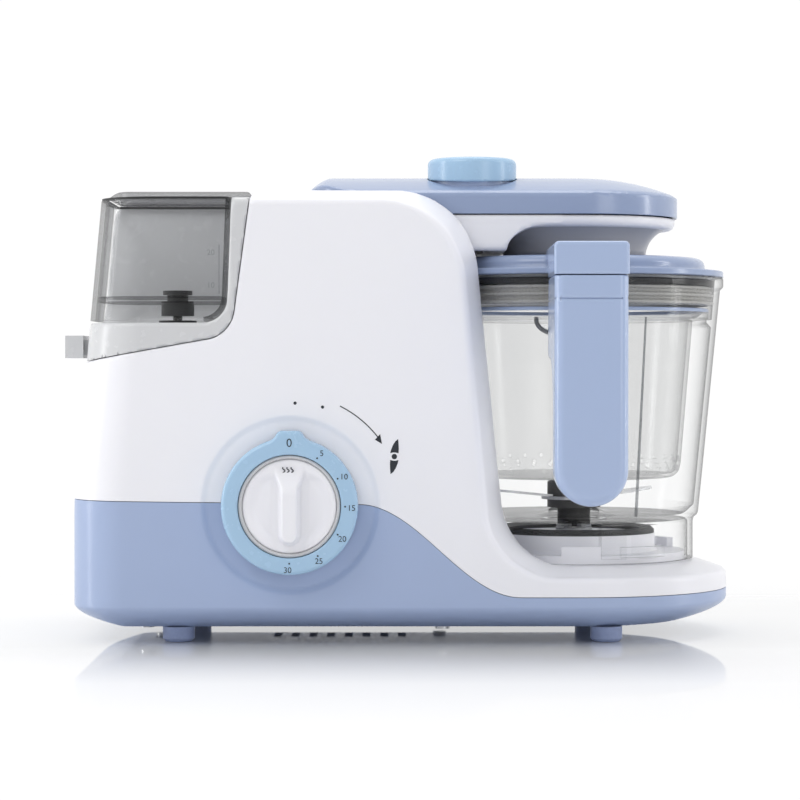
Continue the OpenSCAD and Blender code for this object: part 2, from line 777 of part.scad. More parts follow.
module jug_handle() color(blue) difference() {
    intersection() {
        // seen from the side: the grip and the root
        translate([jug_x - 30, 0, 0]) rotate([90, 0, 90]) linear_extrude(60)
            polygon(concat(
                [[handle_front, 60], [handle_front + handle_t, 60]],
                [for (a = [180:-15:90])
                    [handle_front + handle_t + 25 + 25 * cos(a), root_low - 14 + 25 * sin(a)]],
                [[mid_y - 50, root_low + 11], [mid_y - 50, handle_top],
                 [handle_front, handle_top]]
            ));
        // seen from the front: straight sides and a round lower end
        union() {
            translate([jug_x, 0, 66.3 + handle_w / 2]) rotate([90, 0, 0])
                cylinder(h = 400, r = handle_w / 2, center = true);
            translate([jug_x - handle_w / 2, -200, 66.3 + handle_w / 2]) cube([handle_w, 400, 130]);
        }
    }
    at_jug() translate([0, 0, kink_z])
        cylinder(h = 167 - kink_z, r1 = wall_low + 0.1, r2 = 71.3);
    at_jug() translate([0, 0, 166.5]) cylinder(h = 20, r = rim_r + 0.1);
}

module steam_basket() color(smoke) at_jug() difference() {
    rotate_extrude() polygon([
        [0, 75], [44, 75], [50, 77.5], [52.6, 82], [53.8, 98], [58.2, 151], [65.6, 152],
        [65.6, 157], [62.6, 157], [60.4, 153.6], [56.4, 152], [52, 98.4], [50.8, 82.8],
        [48.8, 79], [43.4, 77], [0, 77]
    ]);
    for (r = [12, 22, 32, 42], i = [0:r / 2])
        rotate([0, 0, 360 * i / floor(r / 2 + 1)]) translate([r, 0, 70])
            cylinder(h = 12, r = 1.3, $fn = 6);
    for (row = [0, 1], i = [0:35])
        rotate([0, 0, 10 * i + 5 * row]) translate([44, 0, 79.4 + 4.6 * row])
            rotate([0, 90, 0]) cylinder(h = 14, r = 1.3, $fn = 6);
}

module jug_lid() color(blue) {
    at_jug() rotate_extrude() polygon([
        [9.5, 178.6], [12, 178.6], [12, 181.4], [55, 181.4], [60.5, 180], [63.4, 176.6],
        [67, 175.6], [71.4, 175.2], [rim_r, 174], [rim_r, rim_z + 0.1], [65.4, rim_z + 0.1],
        [65.4, 160], [62.8, 160], [62.8, 173], [55, 177.6], [9.5, 178.4]
    ]);
    intersection() {
        difference() {
            translate([jug_x - handle_w / 2 - 0.3, handle_front, handle_top + 0.5])
                cube([handle_w + 0.6, 60, 14.7]);
            at_jug() translate([0, 0, 160]) cylinder(h = 60, r = 71.5);
            at_jug() translate([0, 0, 160]) cylinder(h = rim_z + 0.1 - 160, r = rim_r + gap);
        }
        translate([jug_x - 60, handle_front, 150]) cube([120, 60, 50]);
    }
}

module jug_lid_seal() color([0.22, 0.23, 0.25]) at_jug()
    rotate_extrude() polygon([
        [65.45, 162], [67.7, 162.6], [66.9, 165], [68.1, 167], [67.1, 169.2], [65.45, 170.6]
    ]);

module blade_hub() color([0.24, 0.23, 0.23]) at_jug() {
    rotate_extrude() polygon([
        [0, 50.6], [2.8, 50.6], [2.8, 53.4], [8, 53.6], [8, 60.2], [13, 60.2], [13, 72.4],
        [11.8, 73.6], [0, 73.6]
    ]);
}

// one blade: a swept plate that leaves the hub at a height and rises or dips to its tip
module blade(a, z, tilt) at_jug() rotate([0, 0, a]) translate([0, 0, z]) rotate([0, tilt, 0])
    linear_extrude(1.2) polygon([
        [13.4, -5], [30, -6.5], [42, -1], [44, 4], [34, 5.5], [13.4, 5]
    ]);

module blades() color(steel) {
    blade(20, 64, -6);
    blade(200, 64, -6);
    at_jug() translate([0, 0, 64.2]) difference() {
        cylinder(h = 1.6, r = 16);
        translate([0, 0, -1]) cylinder(h = 4, r = 13.2);
    }
}

// ---- water tank -----------------------------------------------------------------------------

function skin_x(z) = side_x + lean * max(z - waist_z, 0);

function tank_right(z) = -80.4 + 0.039 * (z - 149.6);

// the tank and its lid seen from the front, between two heights
function tank_ring(y, t, low, high) =
    let (
        left = corner_in(y), front = edge_in(y) * 0.6,
        c = moved([
            [skin_x(low), low - t], [tank_right(low), low - t],
            [tank_right(high), high + t], [skin_x(high), high + t]
        ], [t, t, t, left + t])
    )
    [for (p = outline(c, [1.5, 12 - t * 0.5, 1, 1.5], 6)) [p[0], front_y + y, p[1]]];

// the axis of the lid's hinge, and where its two ears begin behind the front face
lid_axis = [-71.8, 209.6];
ear_y = [12, tank_back - 14.2];
ear_t = 2.2;

module at_lid_axis(y) translate([lid_axis[0], front_y + y, lid_axis[1]]) rotate([-90, 0, 0])
    children();

// an ear on the tank's right wall that carries one end of the lid's pivot
module lid_ear(y) difference() {
    hull() {
        at_lid_axis(y) cylinder(h = ear_t, r = 2.2, $fn = 24);
        translate([-78.9, front_y + y, 201]) cube([1.1, ear_t, 4.4]);
    }
    at_lid_axis(y - 1) cylinder(h = ear_t + 2, r = 1.06);
}

tank_y = [0.4, 1, 2, 4, 7, 11, 16, 21, 27, 54, tank_back];

module tank_block(t, low, high, y0, y1)
    loft([
        for (y = [for (i = [len(tank_y) - 1:-1:0]) tank_y[i]])
            [for (p = tank_ring(y, t, low, high))
                [p[0], front_y + y0 + (p[1] - front_y - 0.4) * (y1 - y0) / (tank_back - 0.4), p[2]]]
    ]);

module water_tank() color(smoke) {
    difference() {
        tank_block(0, 149.6, tank_top, 0.4, tank_back);
        tank_block(2.2, tank_floor + 1.4, tank_top + 30, 2.6, tank_back - 2.2);
        tank_block(2.2, 120, tank_floor - 1, 2.6, tank_back - 2.2);
        translate([tube_x, front_y + tube_y, 150]) cylinder(h = 30, r = 5.05);
    }
    for (i = [0:9])
        hull() for (x = [-86, -83 - 2 * (i % 2)])
            translate([x, front_y + 2.4, 166 + 3.75 * i]) cube([0.5, 0.8, 0.5], center = true);
    for (y = ear_y) lid_ear(y);
}

module tank_valve() color(dark) translate([tube_x, front_y + tube_y, 0])
    rotate_extrude() polygon([
        [0, 151], [2.2, 151], [2.2, 153], [7.8, 153], [7.8, 158.9], [5, 158.9], [5, 163], [7, 163],
        [7, 165], [0, 165]
    ]);

// the ring between the tank and its lid
module tank_gasket() color(dark) translate([0, 0, tank_top + 0.1]) linear_extrude(1) difference() {
    gasket_plan(0);
    gasket_plan(2.4);
}

module gasket_plan(inset) {
    x = skin_x(tank_top);
    y = front_y + 0.8;
    plan = [[x, y], [-78.6, y], [-78.6, front_y + tank_back], [x, front_y + tank_back]];
    polygon(outline(moved(plan, [inset, inset, inset, inset]),
                    [for (r = [corner_r, 4, 4, 4]) max(r - inset, 1)]));
}

module tank_lid() color(smoke) {
    difference() {
        intersection() {
            translate([0, 0, tank_top + 1.2]) linear_extrude(20)
                translate([-200, front_y + 0.4]) square([200 + lid_axis[0], tank_back + 1.4]);
            loft([
                for (y = [for (i = [len(column_y) - 1:-1:0]) column_y[i]]) column_ring(y, 0)
            ]);
        }
        for (y = ear_y)
            translate([-79.3, front_y + y - 0.4, tank_top]) cube([20, ear_t + 0.8, 10]);
    }
    // the knuckle, its pivot running through both ears
    difference() {
        at_lid_axis(1.6) cylinder(h = tank_back - 1.2, r = 2.35);
        for (y = ear_y)
            translate([-79.3, front_y + y - 0.4, tank_top]) cube([20, ear_t + 0.8, 10]);
    }
    at_lid_axis(ear_y[0] - 2) cylinder(h = ear_y[1] - ear_y[0] + ear_t + 4, r = 1);
}

module cradle_block() intersection() {
    body_solid(0);
    tank_prism(-gap, tank_depth - gap);
}

module tank_cradle() color([0.80, 0.81, 0.83]) {
    difference() {
        cradle_block();
        tank_block(-0.5, 148.9, 300, -20, tank_back + 0.6);
        translate([-200, front_y - 5, tank_top + 0.9]) cube([200, tank_depth + 6, 40]);
        translate([tube_x, front_y + tube_y, 120]) cylinder(h = 40, r = 6.2);
        translate([-170, front_y + 38.4, 132.4]) cube([34, 25.2, 11.8]);
        for (y = ear_y) translate([-80, front_y + y - 0.5, 200]) cube([12, ear_t + 1, 10]);
    }
    for (i = [0:8])
        hull() for (z = [150, 196])
            translate([-140 + 7 * i, front_y + tank_back + 1.4, z]) cube([2, 1, 1], center = true);
}

module release_button() color([0.86, 0.87, 0.89]) {
    translate([-half_w, front_y + 39, 132.9]) cube([8.6, 24, 10.7]);
    translate([-half_w + 8.5, front_y + 43, 134.5]) cube([9, 16, 7]);
}

module button_boot() color(dark) translate([-147.2, front_y + 38.4, 132.4]) difference() {
    cube([3, 25.2, 11.8]);
    translate([-1, 3.6, 1.4]) cube([6, 18, 8.4]);
}

// ---- the assembly -----------------------------------------------------------------------------

front_housing();
rear_housing();
lower_housing();
bottom_plate();
foot(0);  // foot_front_left
foot(1);  // foot_front_right
foot(2);  // foot_rear_left
foot(3);  // foot_rear_right
base_screws();
jug_dock();
dock_seal();
drive_bearings();
motor_can();
motor_end_cap();
motor_bracket();
motor_screws();
boiler();
heating_element();
thermostat();
water_tube();
steam_tube();
tank_port();
timer_body();
selector_switch();
circuit_board();
lid_switch();
terminal_block();
cord_gland();
tank_cradle();
lid_hinge_pin();
drive_belt();
arm_cover();
arm_lower_shell();
arm_hinge_barrels();
steam_nozzle();
button_collar();
arm_latch();
arm_button();
button_spring();
timer_knob();
knob_trim_ring();
timer_shaft();
selector_ring();
jug();
jug_handle();
steam_basket();
jug_lid();
jug_lid_seal();
blade_hub();
blades();
drive_coupling();
driven_pulley();
rotor();
motor_pulley();
water_tank();
tank_valve();
tank_gasket();
tank_lid();
release_button();
button_boot();
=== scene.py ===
"""Baby food maker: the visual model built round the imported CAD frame.

Lengths are in millimetres until a mesh is made. Most mouldings are drawn as rounded solids
given by a function that is negative inside them, and meshed by surface().
"""

import json
import math

import bpy
import numpy as np
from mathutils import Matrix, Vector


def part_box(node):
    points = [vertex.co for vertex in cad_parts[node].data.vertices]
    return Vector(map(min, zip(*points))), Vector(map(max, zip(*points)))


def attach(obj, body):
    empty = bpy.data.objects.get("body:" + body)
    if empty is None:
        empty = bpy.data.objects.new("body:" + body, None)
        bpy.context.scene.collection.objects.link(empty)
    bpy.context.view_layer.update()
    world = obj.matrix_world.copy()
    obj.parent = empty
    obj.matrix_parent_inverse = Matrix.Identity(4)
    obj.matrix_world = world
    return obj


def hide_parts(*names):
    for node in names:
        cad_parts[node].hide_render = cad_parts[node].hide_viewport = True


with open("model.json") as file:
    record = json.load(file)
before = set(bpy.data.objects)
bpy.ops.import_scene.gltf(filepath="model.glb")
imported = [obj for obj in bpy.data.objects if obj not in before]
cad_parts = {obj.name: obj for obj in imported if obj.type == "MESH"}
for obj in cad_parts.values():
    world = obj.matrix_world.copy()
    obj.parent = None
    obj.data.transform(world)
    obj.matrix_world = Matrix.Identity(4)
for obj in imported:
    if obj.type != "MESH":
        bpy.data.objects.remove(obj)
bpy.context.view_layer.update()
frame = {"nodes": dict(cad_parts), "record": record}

MM = 0.001


def low(node):
    return np.array(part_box(node)[0]) / MM


def high(node):
    return np.array(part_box(node)[1]) / MM


def middle(node):
    return (low(node) + high(node)) / 2


# ---- driving measures, from the frame ------------------------------------------------------

FRONT = low("front_housing")[1]
BACK = high("rear_housing")[1]
MID = (FRONT + BACK) / 2
SIDE_X = low("lower_housing")[0]
HALF_W = high("lower_housing")[0]
BASE_Z = low("lower_housing")[2]
BODY_H = high("front_housing")[2]
JUG_X = middle("blade_hub")[0]
KNOB_X, KNOB_Z = middle("timer_shaft")[0], middle("timer_shaft")[2]
BUTTON = middle("arm_button")
BUTTON_R = (high("arm_button")[0] - low("arm_button")[0]) / 2
BUTTON_TOP = high("arm_button")[2]
ARM_LEFT = low("arm_cover")[0]
ARM_Z = low("arm_cover")[2]
ARM_HALF = (high("arm_cover")[1] - low("arm_cover")[1]) / 2
TANK_TOP = high("tank_gasket")[2] - 1.1
TANK_BACK = high("water_tank")[1]

LEAN = 0.094          # slope of the body's sides
WAIST_Z = 68          # where the left side starts to lean
PLATFORM_Z = 35.5
WALL = 2.6
POCKET_Z = 182        # floor of the arm's pocket
SEAM_LOW, SEAM_HIGH = 22.4, 65.3
JOINT_Z = 218.8       # the joint under the button, at its middle
JOINT_SLOPE = math.tan(math.radians(6))
HINGE_X, HINGE_Z = middle("lid_hinge_pin")[0], middle("lid_hinge_pin")[2]
HINGE_HALF = 46
ARM_CORNER = 34

# ---- rounded solids ---------------------------------------------------------------------------


def round_max(a, b, r):
    """the overlap of two solids, its edge rounded to radius r"""
    return np.minimum(-r, np.maximum(a, b)) + np.hypot(np.maximum(a + r, 0), np.maximum(b + r, 0))


def round_min(a, b, r):
    """the union of two solids, with a fillet of radius r in the corner between them"""
    return -round_max(-a, -b, r)


def smooth_max(a, b, k):
    h = np.clip(k - np.abs(a - b), 0, k) / k
    return np.maximum(a, b) + h * h * k / 4


def step_up(t):
    t = np.clip(t, 0, 1)
    return t * t * (3 - 2 * t)


def beyond(x, z, a, b):
    """distance of (x, z) to the right of the line from a to b"""
    dx, dz = b[0] - a[0], b[1] - a[1]
    return ((x - a[0]) * dz - (z - a[1]) * dx) / math.hypot(dx, dz)


def gradient(f, p, e=0.05):
    g = np.empty_like(p)
    for i in range(3):
        d = np.zeros(3)
        d[i] = e
        g[:, i] = f(*(p + d).T) - f(*(p - d).T)
    return g / (2 * e)


def unit(v):
    return v / np.maximum(np.linalg.norm(v, axis=-1, keepdims=True), 1e-9)


def root(f, a, b, va, vb):
    """the point of each segment a to b where f is zero"""
    for _ in range(4):
        m = a + (b - a) * (va / (va - vb))[:, None]
        vm = f(*m.T)
        same = (vm < 0) == (va < 0)
        a, va = np.where(same[:, None], m, a), np.where(same, vm, va)
        b, vb = np.where(same[:, None], b, m), np.where(same, vb, vm)
        vb = np.where(vb == va, vb + 1e-9, vb)
    return a + (b - a) * (va / (va - vb))[:, None]


def graded(lo, hi, step, fine):
    """grid planes from lo to hi, closer together inside each (start, end, step) of fine"""
    planes = [lo]
    while planes[-1] < hi:
        near = [s for a, b, s in fine if a <= planes[-1] < b]
        ahead = [a - planes[-1] for a, b, s in fine if a > planes[-1]]
        planes.append(planes[-1] + min([step] + near + [max(a, 0.3) for a in ahead]))
    return np.array(planes)


def surface(f, lo, hi, step, fine=((), (), ())):
    """quads along f = 0 inside a box, one corner for each grid cell that f = 0 crosses"""
    axes = [graded(lo[i], hi[i], step, fine[i]) for i in range(3)]
    count = np.array([len(a) for a in axes])
    value = f(*np.meshgrid(*axes, indexing="ij"))
    strides = np.array([count[1] * count[2], count[2], 1])
    cells, points, normals, quads = [], [], [], []
    for axis in range(3):
        u, v = [i for i in range(3) if i != axis]
        first = np.take(value, np.arange(count[axis] - 1), axis)
        second = np.take(value, np.arange(1, count[axis]), axis)
        at = np.argwhere((first < 0) != (second < 0))
        at = at[(at[:, u] > 0) & (at[:, u] < count[u] - 1) & (at[:, v] > 0) & (at[:, v] < count[v] - 1)]
        start = np.stack([axes[i][at[:, i]] for i in range(3)], 1)
        end = start.copy()
        end[:, axis] = axes[axis][at[:, axis] + 1]
        va, vb = first[tuple(at.T)], second[tuple(at.T)]
        p = root(f, start, end, va, vb)
        n = unit(gradient(f, p))
        ring = []
        for du, dv in ((0, 0), (1, 0), (1, 1), (0, 1)):
            cell = at.copy()
            cell[:, u] -= du
            cell[:, v] -= dv
            ring.append(cell @ strides)
            cells.append(ring[-1])
            points.append(p)
            normals.append(n)
        ring = np.stack(ring, 1)
        flip = (va < 0) == (axis == 1)
        ring[flip] = ring[flip][:, ::-1]
        quads.append(ring)
    names, where = np.unique(np.concatenate(cells), return_inverse=True)
    verts = corners(np.concatenate(points), np.concatenate(normals), where, len(names))
    cell = np.stack([names // strides[0], names % strides[0] // strides[1], names % strides[1]], 1)
    for i in range(3):
        verts[:, i] = np.clip(verts[:, i], axes[i][cell[:, i]], axes[i][cell[:, i] + 1])
    g = gradient(f, verts)
    slope = np.sqrt(np.maximum((g * g).sum(1), 1e-6))
    shift = np.clip(f(*verts.T) / slope, -0.2 * step, 0.2 * step)
    verts -= unit(g) * shift[:, None]
    return verts, np.searchsorted(names, np.concatenate(quads))


def corners(p, n, where, size):
    """the point of each cell that lies nearest to the planes of the crossings round it"""
    def total(w):
        return np.bincount(where, w, size)

    k = total(np.ones(len(where)))
    centre = np.stack([total(p[:, i]) for i in range(3)], 1) / k[:, None]
    square = np.stack([total(n[:, i] * n[:, j]) for i in range(3) for j in range(3)], 1)
    square = square.reshape(-1, 3, 3)
    along = (n * p).sum(1)
    right = np.stack([total(n[:, i] * along) for i in range(3)], 1)
    right -= np.einsum("nij,nj->ni", square, centre)
    square += 0.03 * k[:, None, None] * np.eye(3)
    return centre + np.linalg.solve(square, right[:, :, None])[:, :, 0]


def triangles(verts, quads):
    """each quad cut along its shorter diagonal"""
    a, b, c, d = quads.T
    short = np.linalg.norm(verts[a] - verts[c], axis=1) < np.linalg.norm(verts[b] - verts[d], axis=1)
    one = np.where(short[:, None], np.stack([a, b, c], 1), np.stack([a, b, d], 1))
    two = np.where(short[:, None], np.stack([a, c, d], 1), np.stack([b, c, d], 1))
    return np.concatenate([one, two])


def clip(verts, tris, keep):
    """the part of a triangle mesh where keep is positive, cut along its zero line"""
    value = keep(*verts.T)
    inside = value > 0
    held = inside[tris].sum(1)
    whole, mixed = tris[held == 3], tris[(held == 1) | (held == 2)]
    if len(mixed) == 0:
        return verts, whole
    lone = np.where(held[(held == 1) | (held == 2)] == 1, 1, 0)
    odd = inside[mixed] == lone[:, None].astype(bool)
    turn = odd.argmax(1)
    rows = np.arange(len(mixed))
    a, b, c = (mixed[rows, (turn + i) % 3] for i in range(3))
    pairs = np.concatenate([np.stack([a, b], 1), np.stack([a, c], 1)])
    edges, at = np.unique(np.sort(pairs, 1), axis=0, return_inverse=True)
    at = at.ravel()
    v0, v1 = value[edges[:, 0]], value[edges[:, 1]]
    v1 = np.where(v1 == v0, v1 + 1e-9, v1)
    cut = root(keep, verts[edges[:, 0]], verts[edges[:, 1]], v0, v1)
    ab, ac = at[: len(mixed)] + len(verts), at[len(mixed):] + len(verts)
    one = lone == 1
    tip = np.stack([a, ab, ac], 1)[one]
    base = np.concatenate([np.stack([ab, b, c], 1)[~one], np.stack([ab, c, ac], 1)[~one]])
    verts = np.concatenate([verts, cut])
    tris = np.concatenate([whole, tip, base])
    used, tris = np.unique(tris, return_inverse=True)
    return verts[used], tris.reshape(-1, 3)


# ---- making pieces ------------------------------------------------------------------------------


def new_object(name, verts, faces):
    mesh = bpy.data.meshes.new(name)
    mesh.from_pydata((np.asarray(verts) * MM).tolist(), [], [list(f) for f in faces])
    mesh.update()
    made = bpy.data.objects.new(name, mesh)
    bpy.context.scene.collection.objects.link(made)
    return made


def finish(made, body, material, replaces=()):
    made.data.materials.append(material)
    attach(made, body)
    if replaces:
        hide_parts(*replaces)
    return made


def solid(name, f, lo, hi, step, fine=((), (), ())):
    """a closed moulding, shaded by its own function's slope"""
    verts, quads = surface(f, lo, hi, step, fine)
    made = new_object(name, verts, quads.tolist())
    made.data.shade_smooth()
    made.data.normals_split_custom_set_from_vertices(unit(gradient(f, verts)).tolist())
    return made


def shell(name, f, lo, hi, step, keeps, wall=WALL, fine=((), (), ())):
    """a moulding's skin of real thickness: the surface of f where every keep is positive"""
    verts, quads = surface(f, lo, hi, step, fine)
    return thick(name, f, verts, triangles(verts, quads), keeps, wall)


def thick(name, f, verts, tris, keeps, wall):
    for keep in keeps:
        verts, tris = clip(verts, tris, keep)
    return walled(name, verts, unit(gradient(f, verts)), tris, wall)


def walled(name, verts, normal, tris, wall):
    """a skin, its inner face a wall thickness inside it, and the strip along its edges"""
    n = len(verts)
    edge = np.concatenate([tris[:, [0, 1]], tris[:, [1, 2]], tris[:, [2, 0]]])
    code, back = edge[:, 0] * n + edge[:, 1], edge[:, 1] * n + edge[:, 0]
    rim = edge[~np.isin(code, back)]
    both = np.concatenate([verts, verts - wall * normal])
    strip = np.stack([rim[:, 1], rim[:, 0], rim[:, 0] + n, rim[:, 1] + n], 1)
    side = np.cross(both[strip[:, 1]] - both[strip[:, 0]], both[strip[:, 3]] - both[strip[:, 0]])
    made = new_object(name, both, tris.tolist() + (tris[:, ::-1] + n).tolist() + strip.tolist())
    made.data.shade_smooth()
    loops = np.concatenate([
        normal[tris].reshape(-1, 3), -normal[tris[:, ::-1]].reshape(-1, 3),
        np.repeat(unit(side), 4, axis=0),
    ])
    made.data.normals_split_custom_set(loops.tolist())
    return made


def turned(profile, turn=288):
    """an open profile of (radius, height) turned about the jug's axis, as a triangle skin"""
    profile = np.array(profile, float)
    k = len(profile)
    a = np.linspace(0, 2 * math.pi, turn, endpoint=False)
    verts = np.stack([
        JUG_X + np.outer(np.cos(a), profile[:, 0]), MID + np.outer(np.sin(a), profile[:, 0]),
        np.broadcast_to(profile[:, 1], (turn, k)),
    ], 2).reshape(-1, 3)
    i, j = np.meshgrid(np.arange(turn), np.arange(k - 1), indexing="ij")
    i2 = (i + 1) % turn
    quads = np.stack([i * k + j, i2 * k + j, i2 * k + j + 1, i * k + j + 1], 2).reshape(-1, 4)
    return verts, triangles(verts, quads)


def lathe(name, profile, centre, turn=160, sharp=32):
    """a closed profile of (radius, height) turned about a vertical axis"""
    profile = np.array(profile, float)
    k = len(profile)
    a = np.linspace(0, 2 * math.pi, turn, endpoint=False)
    r, z = profile[:, 0], profile[:, 1]
    verts = np.stack([
        centre[0] + np.outer(np.cos(a), r), centre[1] + np.outer(np.sin(a), r),
        np.broadcast_to(z, (turn, k)),
    ], 2).reshape(-1, 3)
    i, j = np.meshgrid(np.arange(turn), np.arange(k), indexing="ij")
    i2, j2 = (i + 1) % turn, (j + 1) % k
    quads = np.stack([i * k + j, i2 * k + j, i2 * k + j2, i * k + j2], 2).reshape(-1, 4)
    flat = (r[quads % k] < 1e-6).sum(1) >= 4
    made = new_object(name, verts, quads[~flat].tolist())
    tidy(made, sharp)
    return made


def tidy(made, sharp=32):
    """merges doubled corners, turns faces outward and marks sharp edges"""
    import bmesh
    work = bmesh.new()
    work.from_mesh(made.data)
    bmesh.ops.remove_doubles(work, verts=work.verts, dist=1e-7)
    bmesh.ops.dissolve_degenerate(work, edges=work.edges, dist=1e-8)
    bmesh.ops.recalc_face_normals(work, faces=work.faces)
    work.to_mesh(made.data)
    work.free()
    made.data.shade_smooth()
    made.data.set_sharp_from_angle(angle=math.radians(sharp))


def arc(centre, r, start, end, n=8):
    """points of an arc in (radius, height), angles in degrees"""
    return [
        (centre[0] + r * math.cos(math.radians(start + (end - start) * i / n)),
         centre[1] + r * math.sin(math.radians(start + (end - start) * i / n)))
        for i in range(n + 1)
    ]


def bevel(made, width, segments=3, angle=35):
    edge = made.modifiers.new("edge", "BEVEL")
    edge.width = width * MM
    edge.segments = segments
    edge.limit_method = "ANGLE"
    edge.angle_limit = math.radians(angle)
    edge.harden_normals = True
    made.data.shade_smooth()
    made.data.set_sharp_from_angle(angle=math.radians(angle))


def prism(name, outline, y0, y1):
    """a flat outline of (x, z) seen from the front, from y0 back to y1"""
    k = len(outline)
    verts = [(x, y0, z) for x, z in outline] + [(x, y1, z) for x, z in outline]
    faces = [list(range(k)), list(range(2 * k - 1, k - 1, -1))]
    faces += [[i, i + k, (i + 1) % k + k, (i + 1) % k] for i in range(k)]
    return new_object(name, verts, faces)


def joined(name, parts):
    """several new meshes as one object"""
    verts, faces, smooth = [], [], []
    for part in parts:
        base = len(verts)
        verts += [tuple(v.co / MM) for v in part.data.vertices]
        faces += [[base + i for i in p.vertices] for p in part.data.polygons]
        bpy.data.objects.remove(part)
    made = new_object(name, verts, faces)
    tidy(made)
    return made


# ---- materials ------------------------------------------------------------------------------------


def srgb(*rgb):
    """linear colour of an 8-bit sRGB one"""
    c = [v / 255 for v in rgb]
    return [v / 12.92 if v <= 0.04045 else ((v + 0.055) / 1.055) ** 2.4 for v in c] + [1]


def shader(name):
    made = bpy.data.materials.new(name)
    made.use_nodes = True
    nodes, links = made.node_tree.nodes, made.node_tree.links
    return made, nodes, links, nodes["Principled BSDF"]


def noise(nodes, links, scale, detail=3, stretch=(1, 1, 1)):
    place = nodes.new("ShaderNodeTexCoord")
    mapping = nodes.new("ShaderNodeMapping")
    mapping.inputs["Scale"].default_value = stretch
    made = nodes.new("ShaderNodeTexNoise")
    made.inputs["Scale"].default_value = scale
    made.inputs["Detail"].default_value = detail
    links.new(place.outputs["Object"], mapping.inputs["Vector"])
    links.new(mapping.outputs["Vector"], made.inputs["Vector"])
    return made


def spread(nodes, links, source, bottom, top):
    """a 0 to 1 value spread over a range"""
    made = nodes.new("ShaderNodeMapRange")
    made.inputs["From Min"].default_value = 0.3
    made.inputs["From Max"].default_value = 0.7
    made.inputs["To Min"].default_value = bottom
    made.inputs["To Max"].default_value = top
    links.new(source, made.inputs["Value"])
    return made.outputs["Result"]


def bump(nodes, links, source, strength, depth_mm, target):
    made = nodes.new("ShaderNodeBump")
    made.inputs["Strength"].default_value = strength
    made.inputs["Distance"].default_value = depth_mm * MM
    links.new(source, made.inputs["Height"])
    links.new(made.outputs["Normal"], target.inputs["Normal"])


def vary(nodes, links, source, colour, target, amount=0.03):
    """a faint drift of a base colour"""
    mix = nodes.new("ShaderNodeMix")
    mix.data_type = "RGBA"
    mix.inputs["A"].default_value = colour
    mix.inputs["B"].default_value = [c * (1 - amount) for c in colour[:3]] + [1]
    links.new(source, mix.inputs["Factor"])
    links.new(mix.outputs["Result"], target.inputs["Base Color"])


def moulded(name, colour, rough=0.28, grain=0.02, coat=0.0):
    """injection-moulded plastic: faint flow marks, a fine eggshell surface"""
    made, nodes, links, bsdf = shader(name)
    drift = noise(nodes, links, 14, 1)
    vary(nodes, links, drift.outputs["Fac"], colour, bsdf, 0.02)
    haze = noise(nodes, links, 240, 3)
    links.new(spread(nodes, links, haze.outputs["Fac"], rough * 0.94, rough * 1.08),
              bsdf.inputs["Roughness"])
    fine = noise(nodes, links, 1500, 2)
    bump(nodes, links, fine.outputs["Fac"], 0.18, grain, bsdf)
    bsdf.inputs["Coat Weight"].default_value = coat
    bsdf.inputs["Coat Roughness"].default_value = 0.12
    bsdf.inputs["Subsurface Weight"].default_value = 0.06
    bsdf.inputs["Subsurface Radius"].default_value = (0.004, 0.004, 0.005)
    return made


def soft_rubber(name, colour, rough=0.62):
    made, nodes, links, bsdf = shader(name)
    fine = noise(nodes, links, 900, 4)
    vary(nodes, links, fine.outputs["Fac"], colour, bsdf, 0.15)
    links.new(spread(nodes, links, fine.outputs["Fac"], rough - 0.08, rough + 0.08),
              bsdf.inputs["Roughness"])
    bump(nodes, links, fine.outputs["Fac"], 0.25, 0.05, bsdf)
    bsdf.inputs["Sheen Weight"].default_value = 0.15
    return made


def metal(name, colour, rough=0.24, stretch=(1, 1, 40), scale=60):
    """brushed or cast metal, brushed across the stretched axis"""
    made, nodes, links, bsdf = shader(name)
    lines = noise(nodes, links, scale, 5, stretch)
    vary(nodes, links, lines.outputs["Fac"], colour, bsdf, 0.18)
    links.new(spread(nodes, links, lines.outputs["Fac"], rough * 0.7, rough * 1.5),
              bsdf.inputs["Roughness"])
    bump(nodes, links, lines.outputs["Fac"], 0.12, 0.04, bsdf)
    bsdf.inputs["Metallic"].default_value = 1
    return made


def clear(name, face, edge, gloss=0.5, rough=0.03):
    """a thin wall of clear plastic: tinted where it is seen through, darker where it grazes"""
    made, nodes, links, bsdf = shader(name)
    nodes.remove(bsdf)
    slant = nodes.new("ShaderNodeLayerWeight")
    slant.inputs["Blend"].default_value = 0.5
    graze = nodes.new("ShaderNodeMath")
    graze.operation = "POWER"
    graze.inputs[1].default_value = 5
    links.new(slant.outputs["Facing"], graze.inputs[0])
    outline = nodes.new("ShaderNodeMath")
    outline.operation = "POWER"
    outline.inputs[1].default_value = 9
    links.new(slant.outputs["Facing"], outline.inputs[0])
    ramp = nodes.new("ShaderNodeMix")
    ramp.data_type = "RGBA"
    ramp.inputs["A"].default_value = face
    ramp.inputs["B"].default_value = edge
    links.new(outline.outputs["Value"], ramp.inputs["Factor"])
    through = nodes.new("ShaderNodeBsdfTransparent")
    links.new(ramp.outputs["Result"], through.inputs["Color"])
    shine = nodes.new("ShaderNodeBsdfGlossy")
    shine.inputs["Color"].default_value = (gloss, gloss, gloss, 1)
    haze = noise(nodes, links, 40, 3)
    links.new(spread(nodes, links, haze.outputs["Fac"], rough * 0.6, rough * 2),
              shine.inputs["Roughness"])
    floor = nodes.new("ShaderNodeMath")
    floor.operation = "MAXIMUM"
    floor.inputs[1].default_value = 0.02
    links.new(graze.outputs["Value"], floor.inputs[0])
    mix = nodes.new("ShaderNodeMixShader")
    links.new(floor.outputs["Value"], mix.inputs["Fac"])
    links.new(through.outputs["BSDF"], mix.inputs[1])
    links.new(shine.outputs["BSDF"], mix.inputs[2])
    links.new(mix.outputs["Shader"], nodes["Material Output"].inputs["Surface"])
    return made


